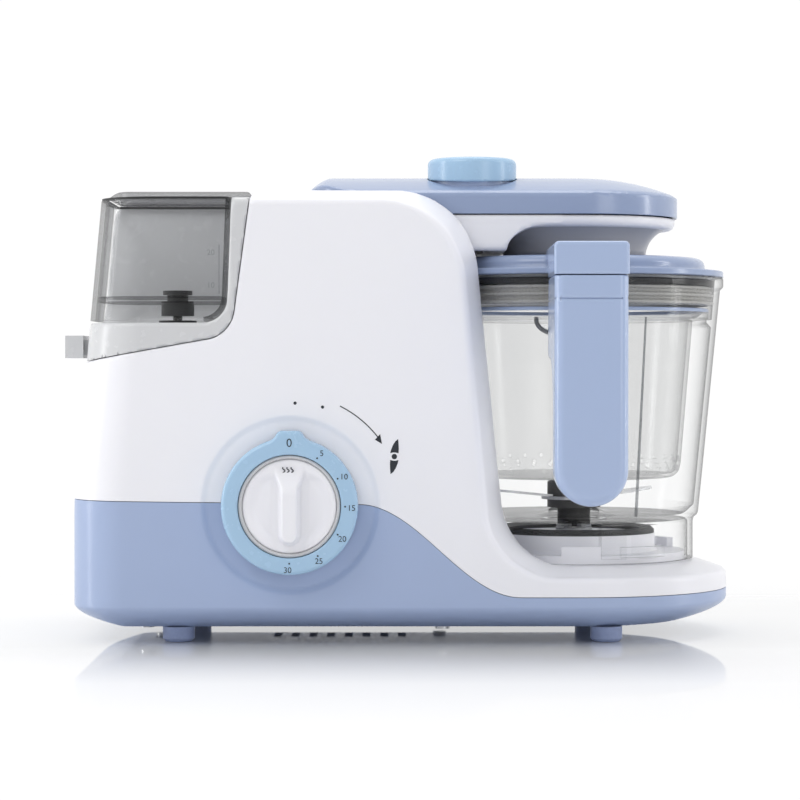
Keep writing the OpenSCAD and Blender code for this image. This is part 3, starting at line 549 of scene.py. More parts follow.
WHITE = moulded("white_moulding", srgb(238, 238, 243), 0.3)
BLUE = moulded("blue_moulding", srgb(162, 178, 210), 0.3)
BLUE_GLOSS = moulded("blue_gloss", srgb(166, 183, 215), 0.2, 0.01, 0.35)
LIGHT_BLUE = moulded("light_blue_moulding", srgb(164, 196, 223), 0.26)
GREY = moulded("grey_moulding", srgb(206, 207, 209), 0.26)
# painted shade: a grey for the arm's white neck, darkened to stand for the shadow under the arm
NECK_PAINTED_SHADE = moulded("neck_painted_shade_moulding", srgb(178, 178, 182), 0.3)
# the arm cover's own darker blue; on the jug lid's drum the same colour is painted shade from the arm above
ARM_BLUE_AND_LID_SHADE = moulded("arm_blue_and_lid_shade_moulding", srgb(146, 161, 192), 0.24, 0.015, 0.3)
CREAM = moulded("cream_moulding", srgb(226, 221, 200), 0.45)
DARK = moulded("dark_moulding", srgb(52, 51, 50), 0.4)
RUBBER = soft_rubber("dark_rubber", srgb(30, 31, 33))
FOOT = soft_rubber("foot_rubber", srgb(150, 164, 200), 0.5)
SILICONE = soft_rubber("silicone", srgb(214, 214, 208), 0.4)
STEEL = metal("brushed_steel", srgb(205, 206, 208))
CAST = metal("cast_aluminium", srgb(196, 198, 200), 0.42, (1, 1, 1), 700)
COPPER = metal("varnished_copper", srgb(190, 112, 62), 0.3, (1, 1, 60), 80)
BOARD = moulded("solder_mask", srgb(30, 96, 58), 0.35)
INK = soft_rubber("print_ink", srgb(30, 36, 46), 0.45)
SEAL = soft_rubber("seal_silicone", srgb(166, 165, 162), 0.3)
PALE_INK = soft_rubber("pale_ink", srgb(150, 152, 156), 0.45)
JUG_CLEAR = clear("jug_clear", (0.993, 0.994, 0.994, 1), (0.3, 0.31, 0.32, 1))
BASKET_SMOKE = clear("basket_smoke", (0.942, 0.943, 0.943, 1), (0.5, 0.505, 0.51, 1), 0.7, 0.08)
TANK_SMOKE = clear("tank_smoke", (0.982, 0.983, 0.984, 1), (0.5, 0.505, 0.51, 1))
RIB_CLEAR = clear("rib_clear", (0.62, 0.63, 0.64, 1), (0.06, 0.065, 0.07, 1), 0.8)

SLOTS = {
    "white_plastic": WHITE, "blue_plastic": BLUE, "foot_blue": FOOT,
    "light_blue_plastic": LIGHT_BLUE, "clear_plastic": JUG_CLEAR, "smoke_plastic": BASKET_SMOKE,
    "grey_plastic": GREY, "dark_plastic": DARK, "dark_rubber": RUBBER, "silicone": SILICONE,
    "stainless": STEEL, "cast_aluminium": CAST, "copper_winding": COPPER, "board_green": BOARD,
    "cream_plastic": CREAM,
}


def paint_cad_nodes():
    """every carried-over CAD node gets its slot's material"""
    for part in frame["record"]["subparts"]:
        made = frame["nodes"][part["node"]]
        made.data.materials.clear()
        made.data.materials.append(SLOTS[part["material_slot"]])


# ---- camera, lights and floor ---------------------------------------------------------------------

CAMERA_Y = -1.2 + FRONT * MM
CAMERA_Z = 0.1273


def make_camera():
    data = bpy.data.cameras.new("camera")
    data.lens = 117.4
    data.sensor_width = 36
    data.clip_end = 20
    made = bpy.data.objects.new("camera", data)
    made.location = (0, CAMERA_Y, CAMERA_Z)
    made.rotation_euler = (math.radians(90 - 0.66), 0, 0)
    bpy.context.scene.collection.objects.link(made)
    bpy.context.scene.camera = made


def area_light(name, place, target, size, power):
    data = bpy.data.lights.new(name, "AREA")
    data.shape = "RECTANGLE"
    data.size, data.size_y = size
    data.energy = power
    made = bpy.data.objects.new(name, data)
    made.location = place
    away = np.array(place) - np.array(target)
    made.rotation_euler = (
        math.acos(away[2] / np.linalg.norm(away)), 0, math.atan2(away[1], away[0]) + math.pi / 2
    )
    bpy.context.scene.collection.objects.link(made)


def floor_material():
    """a white table whose mirror sheen fades towards the front"""
    made, nodes, links, bsdf = shader("floor")
    bsdf.inputs["Base Color"].default_value = srgb(231, 231, 232)
    bsdf.inputs["Roughness"].default_value = 0.9
    bsdf.inputs["Specular IOR Level"].default_value = 0
    shine = nodes.new("ShaderNodeBsdfGlossy")
    shine.inputs["Color"].default_value = (1, 1, 1, 1)
    fine = noise(nodes, links, 8, 2)
    links.new(spread(nodes, links, fine.outputs["Fac"], 0.02, 0.035), shine.inputs["Roughness"])
    place = nodes.new("ShaderNodeTexCoord")
    split = nodes.new("ShaderNodeSeparateXYZ")
    span = nodes.new("ShaderNodeMapRange")
    span.inputs["From Min"].default_value = -0.4
    span.inputs["From Max"].default_value = 0.6
    links.new(place.outputs["Object"], split.inputs["Vector"])
    links.new(split.outputs["Y"], span.inputs["Value"])
    fade = nodes.new("ShaderNodeValToRGB")
    stops = fade.color_ramp.elements
    stops[0].position, stops[0].color = 0.05, (0, 0, 0, 1)
    stops[1].position, stops[1].color = 0.9, (1, 1, 1, 1)
    for at, level in ((0.2, 0.12), (0.34, 0.55), (0.5, 0.6)):
        stops.new(at).color = (level, level, level, 1)
    links.new(span.outputs["Result"], fade.inputs["Fac"])
    mix = nodes.new("ShaderNodeMixShader")
    links.new(fade.outputs["Color"], mix.inputs["Fac"])
    links.new(bsdf.outputs["BSDF"], mix.inputs[1])
    links.new(shine.outputs["BSDF"], mix.inputs[2])
    links.new(mix.outputs["Shader"], nodes["Material Output"].inputs["Surface"])
    return made


def make_studio():
    world = bpy.data.worlds.new("studio")
    bpy.context.scene.world = world
    world.use_nodes = True
    nodes, links = world.node_tree.nodes, world.node_tree.links
    back = nodes["Background"]
    back.inputs["Color"].default_value = (1, 1, 1, 1)
    place = nodes.new("ShaderNodeTexCoord")
    split = nodes.new("ShaderNodeSeparateXYZ")
    level = nodes.new("ShaderNodeMapRange")
    level.inputs["From Min"].default_value = -0.35
    level.inputs["From Max"].default_value = 0.2
    level.inputs["To Min"].default_value = 0.52
    level.inputs["To Max"].default_value = 1.02
    links.new(place.outputs["Generated"], split.inputs["Vector"])
    links.new(split.outputs["Y"], level.inputs["Value"])
    links.new(level.outputs["Result"], back.inputs["Strength"])
    area_light("key", (-0.75, -0.9, 1.15), (0, 0, 0.1), (0.8, 0.6), 6)
    area_light("fill", (0.9, -1.3, 0.5), (0, 0, 0.1), (0.5, 0.9), 2.6)
    area_light("top", (0.1, 0.25, 1.4), (0, 0.02, 0.15), (1.1, 0.7), 5)
    area_light("left_strip", (-1.1, -0.15, 0.3), (0, 0, 0.13), (0.16, 0.9), 3.5)
    area_light("right_strip", (1.2, -0.1, 0.35), (0, 0, 0.13), (0.14, 0.9), 2.5)
    scene = bpy.context.scene
    scene.view_settings.view_transform = "Standard"
    scene.cycles.transparent_max_bounces = 32
    made = floor_material()
    size = 6
    floor = bpy.data.meshes.new("floor")
    floor.from_pydata([(-size, -size, 0), (size, -size, 0), (size, size, 0), (-size, size, 0)],
                      [], [(0, 1, 2, 3)])
    floor.materials.append(made)
    made = bpy.data.objects.new("floor", floor)
    made.location = (0, 0, -0.0002)
    bpy.context.scene.collection.objects.link(made)


# ---- housing ----------------------------------------------------------------------------------------


def plan(x, y):
    """the base seen from above: left corners of 25, right corners of 76"""
    ends = np.maximum(FRONT - y, y - BACK)
    return np.maximum(round_max(SIDE_X - x, ends, 25), round_max(x - HALF_W, ends, 76))


def soft_edge(depth, reach, amount):
    """how far a face stands back near an edge"""
    return amount * np.clip(1 - depth / reach, 0, 1) ** 1.5


def body_form(x, y, z):
    """the body before anything is cut out of it"""
    ends = np.maximum(FRONT - y, y - BACK)
    fore = y < MID
    soft = soft_edge(-ends, np.where(fore, 32.0, 14.0), np.where(fore, 9.0, 4.0))
    across = math.hypot(1, LEAN)
    right = (x - 51.2 + LEAN * (z - PLATFORM_Z)) / across + soft
    top = z - BODY_H + 0.65 * soft
    column = round_max(right, top, 36)
    left = smooth_max(SIDE_X - x, (SIDE_X - x + LEAN * (z - WAIST_Z)) / across, 0.9)
    sides = np.maximum(round_max(left, ends, 25), round_max(x - HALF_W, ends, 76))
    platform = z - PLATFORM_Z + soft_edge(-sides - 3, 15, 4)
    profile = round_min(column, platform, 30)
    bevel_in = 22 * np.clip(1 - (z - BASE_Z) / 11, 0, 1) ** 1.8
    edge_r = 3 + 9 * step_up((-95 - x) / 30)
    return np.maximum(round_max(sides + bevel_in, profile, edge_r), BASE_Z - z)


def arm_outline(x, y, grow):
    """the arm seen from above, left end and sides only"""
    return round_max(ARM_LEFT - grow - x, np.abs(y - MID) - ARM_HALF - grow, ARM_CORNER + grow)


TANK_LOW = ((-170, 126.9), (-77.75, 143.35))
TANK_RIGHT = ((-77.75, 143.35), (-63.3, 250))
TANK_DEPTH = 84


def tank_corner(x, y, z, grow=0.0):
    """the corner of the body that the cradle and the tank fill"""
    right = beyond(x, z, *TANK_RIGHT) - grow
    under = beyond(x, z, *TANK_LOW) - grow
    return np.maximum(round_max(right, under, 10 + grow), y - FRONT - TANK_DEPTH - grow)


def housing_form(x, y, z):
    jug = np.hypot(x - JUG_X, y - MID)
    recess = np.maximum(jug - 62.5 - LEAN * (z - PLATFORM_Z), PLATFORM_Z + 0.4 - z)
    pocket = np.maximum(arm_outline(x, y, 2), POCKET_Z - z)
    well = np.maximum(np.abs(x - ARM_LEFT - 10) - 15, np.abs(y - MID) - HINGE_HALF)
    well = np.maximum(well, HINGE_Z - 12 - z)
    cut = np.minimum(np.minimum(recess, pocket), np.minimum(well, tank_corner(x, y, z)))
    knob = np.hypot(x - KNOB_X, z - KNOB_Z)
    dish = FRONT - y + 1.2 * step_up((41.8 - knob) / 3.6)
    return np.maximum(round_max(body_form(x, y, z), -cut, 0.9), dish)


def seam(x):
    """height of the colour joint"""
    t = np.clip((x + 19) / 75, 0, 1)
    curve = SEAM_LOW + (SEAM_HIGH - SEAM_LOW) * (1 + np.cos(math.pi * t)) / 2
    return curve + 2 * np.clip((-19 - x) / 151, 0, 1)


def under_seam(x, y, z):
    inner = (x > 0) & (x < 70) & (np.abs(y - MID) < 58)
    return np.where(inner, SEAM_LOW, seam(x)) - z


def slots(count, x0, z0, height):
    """keeps what lies outside a row of upright slots in the back wall"""
    def keep(x, y, z):
        nearest = x0 + 9 * np.clip(np.round((x - x0) / 9), 0, count - 1)
        away = np.hypot(x - nearest, z - np.clip(z, z0, z0 + height)) - 1.6
        return np.where(y > BACK - 12, away, 1)
    return keep


def hole(axis, centre, r, reach):
    """keeps what lies outside a round hole along an axis, within a reach of heights"""
    u, v = [i for i in range(3) if i != axis]

    def keep(*p):
        away = np.hypot(p[u] - centre[0], p[v] - centre[1]) - r
        return np.where((p[axis] > reach[0]) & (p[axis] < reach[1]), away, 1)
    return keep


HOUSING_FINE = (
    ((KNOB_X - 45, KNOB_X + 45, 1.2), (36, 50, 1.5)),
    ((FRONT - 1, FRONT + 8, 1.1), (BACK - 5, BACK + 1, 1.4)),
    ((BASE_Z, 18, 1.3), (KNOB_Z - 45, KNOB_Z + 45, 1.2), (203, 214, 1.2)),
)


def make_housing():
    verts, quads = surface(housing_form, (SIDE_X - 4, FRONT - 4, BASE_Z - 4),
                           (HALF_W + 4, BACK + 4, BODY_H + 4), 2.2, HOUSING_FINE)
    tris = triangles(verts, quads)
    opening = lambda x, y, z: np.where(z < BASE_Z + 4, plan(x, y) + 22.5, 1)
    port = middle("tank_port")
    gland = middle("cord_gland")
    holes = [
        opening,
        hole(1, (KNOB_X, KNOB_Z), 9, (FRONT - 5, FRONT + 8)),
        hole(2, (JUG_X, MID), 12, (26, 40)),
        hole(2, port[:2], 7, (120, 160)),
        hole(2, middle("steam_tube")[:2] * 0 + (-20, MID + 30), 6, (176, 184)),
        hole(1, (gland[0], gland[2]), 10.05, (BACK - 8, BACK + 5)),
        hole(1, (HINGE_X, HINGE_Z), 2.1, (MID - HINGE_HALF - 2.1, MID + HINGE_HALF + 2.1)),
    ]
    for keep in holes:
        verts, tris = clip(verts, tris, keep)
    above = lambda x, y, z: -under_seam(x, y, z) - 0.15
    below = lambda x, y, z: under_seam(x, y, z) - 0.15
    fore = lambda x, y, z: MID - 0.05 - y
    aft = lambda x, y, z: y - MID - 0.05
    rows = (
        ("front_housing_skin", "front_housing", [above, fore], WHITE, "white_plastic"),
        ("rear_housing_skin", "rear_housing", [above, aft, slots(12, -80, 92, 34)], WHITE,
         "white_plastic"),
        ("lower_housing_skin", "lower_housing", [below, slots(8, -60, 26, 20)], BLUE,
         "blue_plastic"),
    )
    for name, node, keeps, material, slot in rows:
        made = thick(name, housing_form, verts, tris, keeps, WALL)
        finish(made, "housing", material, [node])


# ---- arm --------------------------------------------------------------------------------------------


def arm_plan(x, y, grow=0.0):
    """the whole arm seen from above"""
    y = y - MID
    side = np.where(x > JUG_X, np.hypot(x - JUG_X, y), np.abs(y)) - ARM_HALF - grow
    left = round_max(ARM_LEFT - grow - x, np.abs(y) - ARM_HALF - grow, ARM_CORNER + grow)
    return np.maximum(side, left)


BAND_H = 10.3         # height of the arm's edge band
DOME_H = 9


def arm_cover_form(x, y, z):
    edge = arm_plan(x, y)
    drawn = round_max((ARM_LEFT - x) / 0.35, np.abs(y - MID) - ARM_HALF, ARM_CORNER)
    far = np.where(x > JUG_X, edge, drawn)
    s = np.clip((-far - 0.8) / (ARM_HALF - 6), 0, 1)
    top = z - (ARM_Z + BAND_H) - DOME_H * (1 - (1 - s) ** 2) - 0.5 * step_up(s * 30)
    return np.maximum(round_max(edge, top, 0.9), round_max(edge, ARM_Z - z, 0.8))


def joint_plane(y):
    return JOINT_Z + JOINT_SLOPE * (y - FRONT - 59)


def from_button(x, y):
    return np.hypot(x - BUTTON[0], y - BUTTON[1])


DEEP_Z = POCKET_Z + 1.6   # underside of the lower shell's deep part


def arm_under_form(x, y, z):
    """the white lower shell: a shallow tray and a deep part on the left; its neck over the jug is drawn by
    neck_form
    """
    top = z - ARM_Z + 0.15
    near = arm_plan(x, y, -1.2)
    tray = round_max(near, 195.2 - z, 3.5)
    arch = 12 * (1 - np.hypot((x - 71.5) / 21, (z - DEEP_Z) / 12.6))
    arch = np.where(x < 71.5, arch, DEEP_Z + 12.6 - z)
    deep = round_max(round_max(near, DEEP_Z - z, 2.5), arch, 0.8)
    deep = np.maximum(np.maximum(deep, HINGE_X + 2 - x), x - 76)
    form = round_min(tray, deep, 1.0)
    barrel = np.maximum(np.hypot(x - HINGE_X, z - HINGE_Z) - 6, np.abs(y - MID) - 41)
    return np.maximum(round_max(form, top, 0.5), -barrel)


def neck_form(x, y, z):
    """the flared neck that reaches down to the jug's lid; its white plastic is painted grey as painted shade
    from the arm above
    """
    r = np.hypot(x - JUG_X, y - MID)
    a = np.clip((z - 182.6) / 14, 0, 1)
    flare = r - (50 - 15 * np.sqrt(1 - a * a))
    form = round_max(flare, 182.6 - z, 1.2)
    return np.maximum(np.maximum(form, 31.6 - r), z - 196.4)


def button_form(x, y, z):
    r = from_button(x, y)
    top = z - BUTTON_TOP + 0.5 * (r / BUTTON_R) ** 2
    joint = (joint_plane(y) - z) * 0.995
    return round_max(round_max(r - BUTTON_R, top, 2.6), joint, 0.5)


def make_arm():
    lo, hi = low("arm_cover") - 3, high("arm_cover") + 3
    collar = lambda x, y, z: from_button(x, y) - (BUTTON_R - 1.75)
    relief = lambda x, y, z: np.maximum(from_button(x, y) - BUTTON_R - 0.5, joint_plane(y) - 2 - z)
    open_under = lambda x, y, z: z - ARM_Z - 0.25
    cover = shell("arm_cover_skin", arm_cover_form, lo, hi, 1.7, [open_under, collar, relief], 2.2)
    finish(cover, "arm", ARM_BLUE_AND_LID_SHADE, ["arm_cover"])
    lo, hi = low("arm_lower_shell") - 3, high("arm_lower_shell") + 3
    under = solid("arm_under", arm_under_form, lo, hi, 1.7)
    finish(under, "arm", WHITE, ["arm_lower_shell"])
    neck = solid("arm_neck", neck_form, lo, hi, 1.6)
    # the neck's white plastic gets the grey painted-shade colour in place of its own white
    finish(neck, "arm", NECK_PAINTED_SHADE)
    lo, hi = low("arm_button") - 3, high("arm_button") + 3
    lo[2] = 212
    button = solid("button_cap", button_form, lo, hi, 0.9)
    finish(button, "arm_button", LIGHT_BLUE, ["arm_button"])
    bevel(frame["nodes"]["button_collar"], 0.2)


# ---- controls -----------------------------------------------------------------------------------------

RING_FACE = 12        # how far the selector ring stands out of the front
CAP_FACE = 9.4
GRIP_FACE = 16.4


def ring_form(x, y, z):
    dx, dz = x - KNOB_X, z - KNOB_Z
    r = np.hypot(dx, dz)
    tab = round_max(np.abs(dx) - 6.9 + 0.45 * (dz - 31), dz - 34.5, 1.6)
    outer = round_min(r - 31.3, np.maximum(tab, 20 - dz), 2)
    form = round_max(outer, FRONT - RING_FACE - y, 2.0)
    form = round_max(form, 23.6 - r, 0.5)
    return np.maximum(form, y - FRONT - 0.2)


def cap_height(dx, dz):
    """how far the timer's cap stands out of the front, over its whole face"""
    r = np.hypot(dx, dz)
    scoop = step_up((np.abs(dx) - 4.4) / 5) * step_up((20.6 - r) / 6) * step_up((16 - dz) / 5)
    half = 4.4 + 2.6 * step_up((dz - 7) / 9)
    away = np.hypot(dx, np.minimum(dz + 13, 0)) - half
    rise = (GRIP_FACE - CAP_FACE - 0.4) * step_up((19 - dz) / 14)
    return CAP_FACE + 0.4 - 1.9 * scoop + rise * step_up((0.9 - away) / 2.1)


def cap_form(x, y, z):
    dx, dz = x - KNOB_X, z - KNOB_Z
    face = (FRONT - cap_height(dx, dz) - y) * 0.6
    edge = round_max(np.hypot(dx, dz) - 21.6, face, 0.7)
    return np.maximum(edge, y - FRONT + 4.5)


def flat_text(word, x, z, height, face, turn=0.0):
    """generic numerals printed on a face that looks along -Y"""
    data = bpy.data.curves.new("numeral", "FONT")
    data.body = word
    data.align_x, data.align_y = "CENTER", "CENTER"
    data.size = height / 0.72 * MM
    data.extrude = 0.04 * MM
    data.resolution_u = 6
    made = bpy.data.objects.new("numeral", data)
    bpy.context.scene.collection.objects.link(made)
    made.location = (x * MM, (face - 0.03) * MM, z * MM)
    made.rotation_euler = (math.pi / 2, math.radians(turn), 0)
    bpy.context.view_layer.update()
    mesh = bpy.data.meshes.new_from_object(made)
    mesh.transform(made.matrix_world)
    bpy.data.objects.remove(made)
    made = bpy.data.objects.new("numeral", mesh)
    bpy.context.scene.collection.objects.link(made)
    return made


def dot(x, z, r, face):
    n = 20
    ring = [(x + r * math.cos(2 * math.pi * i / n), z + r * math.sin(2 * math.pi * i / n))
            for i in range(n)]
    return prism("dot", ring, face - 0.07, face + 0.05)


def stroke(points, width, face):
    """a printed line along points of (x, z)"""
    p = np.array(points, float)
    along = unit(np.gradient(p, axis=0))
    side = np.stack([-along[:, 1], along[:, 0]], 1) * width / 2
    return prism("stroke", np.concatenate([p + side, (p - side)[::-1]]).tolist(),
                 face - 0.07, face + 0.05)


def clock(r, degrees):
    """a point at a radius and a clockwise angle from the top of the knob"""
    a = math.radians(degrees)
    return KNOB_X + r * math.sin(a), KNOB_Z + r * math.cos(a)


def make_knob():
    lo, hi = low("selector_ring") - 3, high("selector_ring") + 3
    hi[1] = FRONT + 3
    ring = solid("selector_dial", ring_form, lo, hi, 0.9)
    finish(ring, "selector_ring", LIGHT_BLUE, ["selector_ring"])
    lo, hi = low("timer_knob") - 3, high("timer_knob") + 3
    lo[1] -= 1
    cap = solid("timer_cap", cap_form, lo, hi, 0.8)
    finish(cap, "timer_knob", WHITE, ["timer_knob"])
    bevel(frame["nodes"]["knob_trim_ring"], 0.25)
    face = FRONT - RING_FACE
    marks = [flat_text("0", *clock(28.9, 0), 3.9, face)]
    for i, word in enumerate(("5", "10", "15", "20", "25", "30")):
        angle = 30 * (i + 1)
        marks.append(flat_text(word, *clock(28.4 + 0.7 * (i > 4), angle + 1.5), 2.7, face))
        marks.append(dot(*clock(25.5 + 0.5 * (i > 3), angle), 0.42, face))
    numbers = joined("dial_numbers", marks)
    finish(numbers, "selector_ring", INK)
    face = FRONT - cap_height(0, 15.6)
    waves = []
    for i in range(3):
        centre = KNOB_X - 0.6 + 1.9 * (i - 1)
        line = [(centre + 0.55 * math.sin(t * 1.6), KNOB_Z + 15.7 + t * 0.62)
                for t in np.linspace(-3.6, 3.6, 25)]
        waves.append(stroke(line, 0.5, face))
    finish(joined("steam_mark", waves), "timer_knob", INK)


def make_print():
    """marks on the front: two dots, an arrow and a two-bladed sign"""
    parts = [dot(*clock(47.1, 2.7), 0.75, FRONT), dot(*clock(47.6, 18.2), 0.75, FRONT)]
    parts.append(stroke([clock(51.1, a) for a in np.linspace(26.6, 52.5, 24)], 0.5, FRONT))
    tip, root_a, root_b = clock(50.8, 56.2), clock(52.8, 51.6), clock(49.3, 52.2)
    parts.append(prism("head", [tip, root_b, root_a], FRONT - 0.07, FRONT + 0.05))
    cx, cz = clock(52.9, 64.9)
    lobe = [(1.75, 8.1), (0.4, 7.0), (-0.7, 5.2), (-1.5, 3.2), (-1.9, 1.6), (-0.6, 1.9), (0.6, 1.9),
            (1.9, 1.5), (2.05, 3.4), (1.95, 5.8)]
    for s in (1, -1):
        parts.append(prism("lobe", [(cx + s * x, cz + s * z) for x, z in lobe],
                           FRONT - 0.07, FRONT + 0.05))
    parts.append(dot(cx, cz, 1.25, FRONT))
    finish(joined("front_marks", parts), "housing", INK)


# ---- jug ------------------------------------------------------------------------------------------------

KINK_Z, FLOOR_Z, RIM_Z = 57.6, 55, 172
SKIRT_R, WALL_LOW, WALL_HIGH, RIM_R = 58, 60.6, 71.2, 72.7


def jug_outer(z):
    return WALL_LOW + (WALL_HIGH - WALL_LOW) * (z - KINK_Z) / (167 - KINK_Z)


def make_jug():
    t = WALL
    centre = (JUG_X, MID)
    outside = [(SKIRT_R, 36), (SKIRT_R, 54)]
    outside += [(SKIRT_R + 0.5, 55.8), (WALL_LOW - 0.6, 57), (WALL_LOW, KINK_Z + 0.8)]
    outside += [(jug_outer(z), z) for z in (80, 110, 140, 164)]
    outside += [(jug_outer(166), 166), (RIM_R - 0.5, 167), (RIM_R, 167.8), (RIM_R, RIM_Z - 0.6)]
    outside += [(RIM_R - 0.6, RIM_Z), (jug_outer(167) - t + 0.5, RIM_Z), (jug_outer(167) - t, 171.4)]
    inside = [(jug_outer(151.8) - t, 151.8), (64.6, 151.8), (64.6, 150.4), (jug_outer(148) - t, 148)]
    inside += [(jug_outer(z) - t, z) for z in (110, 80, 62)]
    inside += [(SKIRT_R - t - 0.4, 58.6), (SKIRT_R - t - 2, KINK_Z), (16, KINK_Z), (10.5, 60)]
    inside += [(8.06, 60), (8.06, FLOOR_Z - 1), (16, FLOOR_Z - 1), (16, FLOOR_Z)]
    inside += [(SKIRT_R - t - 1, FLOOR_Z), (SKIRT_R - t, FLOOR_Z - 1), (SKIRT_R - t, 36)]
    parts = [lathe("jug_wall", outside + inside, centre, 192, 28)]
    for start in (-72, 48, 168):
        parts.append(sector("lug", (SKIRT_R - 0.2, SKIRT_R + 2.4), (39, 44), start, start + 24))
        for turn in (-8, 12):
            block = sector("catch", (SKIRT_R - 9, SKIRT_R - 2.8), (38, 53.8), start + turn,
                           start + turn + 13)
            parts.append(block)
    jug = joined("jug_vessel", parts)
    finish(jug, "jug", JUG_CLEAR, ["jug"])
    finish(rod("jug_rib", [rib_point(z) for z in np.linspace(58.5, 152, 24)], 0.75, 0.5),
           "jug", RIB_CLEAR)


def rib_point(z):
    """the upright rib on the jug's wall, right of the handle"""
    a = math.radians(-65)
    r = jug_outer(z) - 0.2
    return JUG_X + r * math.cos(a), MID + r * math.sin(a), z


def rod(name, path, r_start, r_end, n=12):
    """a round rod along a path"""
    p = np.array(path, float)
    along = unit(np.gradient(p, axis=0))
    side = unit(np.cross(along, (0.31, 0.9, 0.2)))
    up = np.cross(side, along)
    r = np.linspace(r_start, r_end, len(p))[:, None, None]
    a = np.linspace(0, 2 * math.pi, n, endpoint=False)[None, :, None]
    verts = (p[:, None] + r * (np.cos(a) * side[:, None] + np.sin(a) * up[:, None])).reshape(-1, 3)
    faces = [[i * n + j, i * n + (j + 1) % n, (i + 1) * n + (j + 1) % n, (i + 1) * n + j]
             for i in range(len(p) - 1) for j in range(n)]
    faces += [list(range(n))[::-1], [(len(p) - 1) * n + j for j in range(n)]]
    made = new_object(name, verts, faces)
    tidy(made, 50)
    return made


BASKET_Z = 75         # underside of the steam basket


def ring_of_holes(r, count, radius):
    """distance outside a ring of holes in the basket's floor"""
    def away(x, y, z):
        turn = 2 * math.pi / count
        a = np.arctan2(y - MID, x - JUG_X)
        off = np.mod(a + turn / 2, turn) - turn / 2
        d = np.hypot(x - JUG_X, y - MID)
        return np.where(z < BASKET_Z + 1, np.hypot(d - r, d * off), 9) - radius
    return away


def row_of_holes(z_row, count, shift, radius):
    """distance outside a row of holes round the basket's wall"""
    def away(x, y, z):
        turn = 2 * math.pi / count
        a = np.arctan2(y - MID, x - JUG_X) - math.radians(shift)
        off = np.mod(a + turn / 2, turn) - turn / 2
        d = np.hypot(x - JUG_X, y - MID)
        return np.where(d > 47, np.hypot(z - z_row, d * off), 9) - radius
    return away


def make_basket():
    bend = [(51.8 + 6 * math.sin(math.radians(a)) - 6, BASKET_Z + 6 * (1 - math.cos(math.radians(a))))
            for a in range(0, 80, 10)]
    radii = [3, 8, 10.5, 13.5, 17, 20.5, 23.5, 27, 30.5, 33.5, 37, 40.5, 43.4]
    lip = [(52.2 + 0.0815 * (z - 82.5), z) for z in (82.5, 84, 86, 90, 100, 112, 124, 136, 148, 151)]
    verts, tris = turned([(r, BASKET_Z) for r in radii] + bend + lip)
    keeps = [ring_of_holes(r, int(r / 2) + 1, 1.3) for r in (12, 22, 32, 42)]
    keeps += [row_of_holes(79.4 + 4.6 * k, 36, 5 * k, 1.3) for k in (0, 1)]
    for keep in keeps:
        verts, tris = clip(verts, tris, keep)
    r = np.hypot(verts[:, 0] - JUG_X, verts[:, 1] - MID)
    lean = np.interp(r, (45.8, 51.8), (-1, 0)) * (verts[:, 2] < 82)
    out = unit(verts[:, :2] - (JUG_X, MID))
    normal = unit(np.stack([out[:, 0] * (1 + lean), out[:, 1] * (1 + lean), lean], 1))
    cup = walled("basket_cup", verts, normal, tris, 1.8)
    finish(cup, "jug", BASKET_SMOKE, ["steam_basket"])
    flange = [(56.6, 151), (58.2, 151), (64.8, 152), (65.6, 152.6), (65.6, 155.2), (64.2, 155.2),
              (62.2, 154.6), (60, 152.8), (56.6, 152)]
    centre = (JUG_X, MID)
    finish(lathe("basket_flange", flange, centre, 192), "jug", BASKET_SMOKE)
    rim = [(62.8, 155.3), (65.6, 155.3), (65.6, 156.6), (65.2, 157), (63.2, 157), (62.8, 156.6)]
    finish(lathe("basket_rim", rim, centre, 192), "jug", BLUE)
    bail = [(JUG_X - 21 * math.cos(a), MID - 48 - 3 * math.sin(a), 152.2 - 9.5 * math.sin(a) ** 0.7)
            for a in np.linspace(0.001, math.pi - 0.001, 40)]
    finish(rod("basket_bail", bail, 1.1, 1.1), "jug", PALE_INK)
    wide = [(65.5, 158.3), (67.9, 158.9), (68.0, 160), (66.6, 160.9), (66.6, 161.7), (68.1, 162.6),
            (68.1, 163.6), (66.8, 164.4), (66.8, 165.3), (68.2, 166.1), (68.2, 167), (65.5, 167.3)]
    seal = lathe("lid_seal", wide, centre, 192, 50)
    finish(seal, "jug_lid", SEAL)
    dark = [(65.5, 167.5), (67.9, 167.7), (68.2, 168.3), (68.2, 170.2), (67.7, 170.8), (65.5, 170.8)]
    finish(lathe("lid_seal_lip", dark, centre, 192), "jug_lid", RUBBER,
           ["jug_lid_seal"])


def sector(name, radii, heights, start, end, n=12, centre=None):
    """a block bent round the jug's axis, angles in degrees"""
    centre = centre or (JUG_X, MID)
    verts, faces = [], []
    for i in range(n + 1):
        a = math.radians(start + (end - start) * i / n)
        for r, z in ((radii[0], heights[0]), (radii[1], heights[0]), (radii[1], heights[1]),
                     (radii[0], heights[1])):
            verts.append((centre[0] + r * math.cos(a), centre[1] + r * math.sin(a), z))
    for i in range(n):
        for j in range(4):
            k = (j + 1) % 4
            faces.append([4 * i + j, 4 * i + k, 4 * i + 4 + k, 4 * i + 4 + j])
    faces += [[3, 2, 1, 0], [4 * n, 4 * n + 1, 4 * n + 2, 4 * n + 3]]
    return new_object(name, verts, faces)


HANDLE_FRONT, HANDLE_T, HANDLE_HALF = -101, 20, 16.5
HANDLE_LOW, HANDLE_TOP, ROOT_LOW = 66.3, 169.5, 120


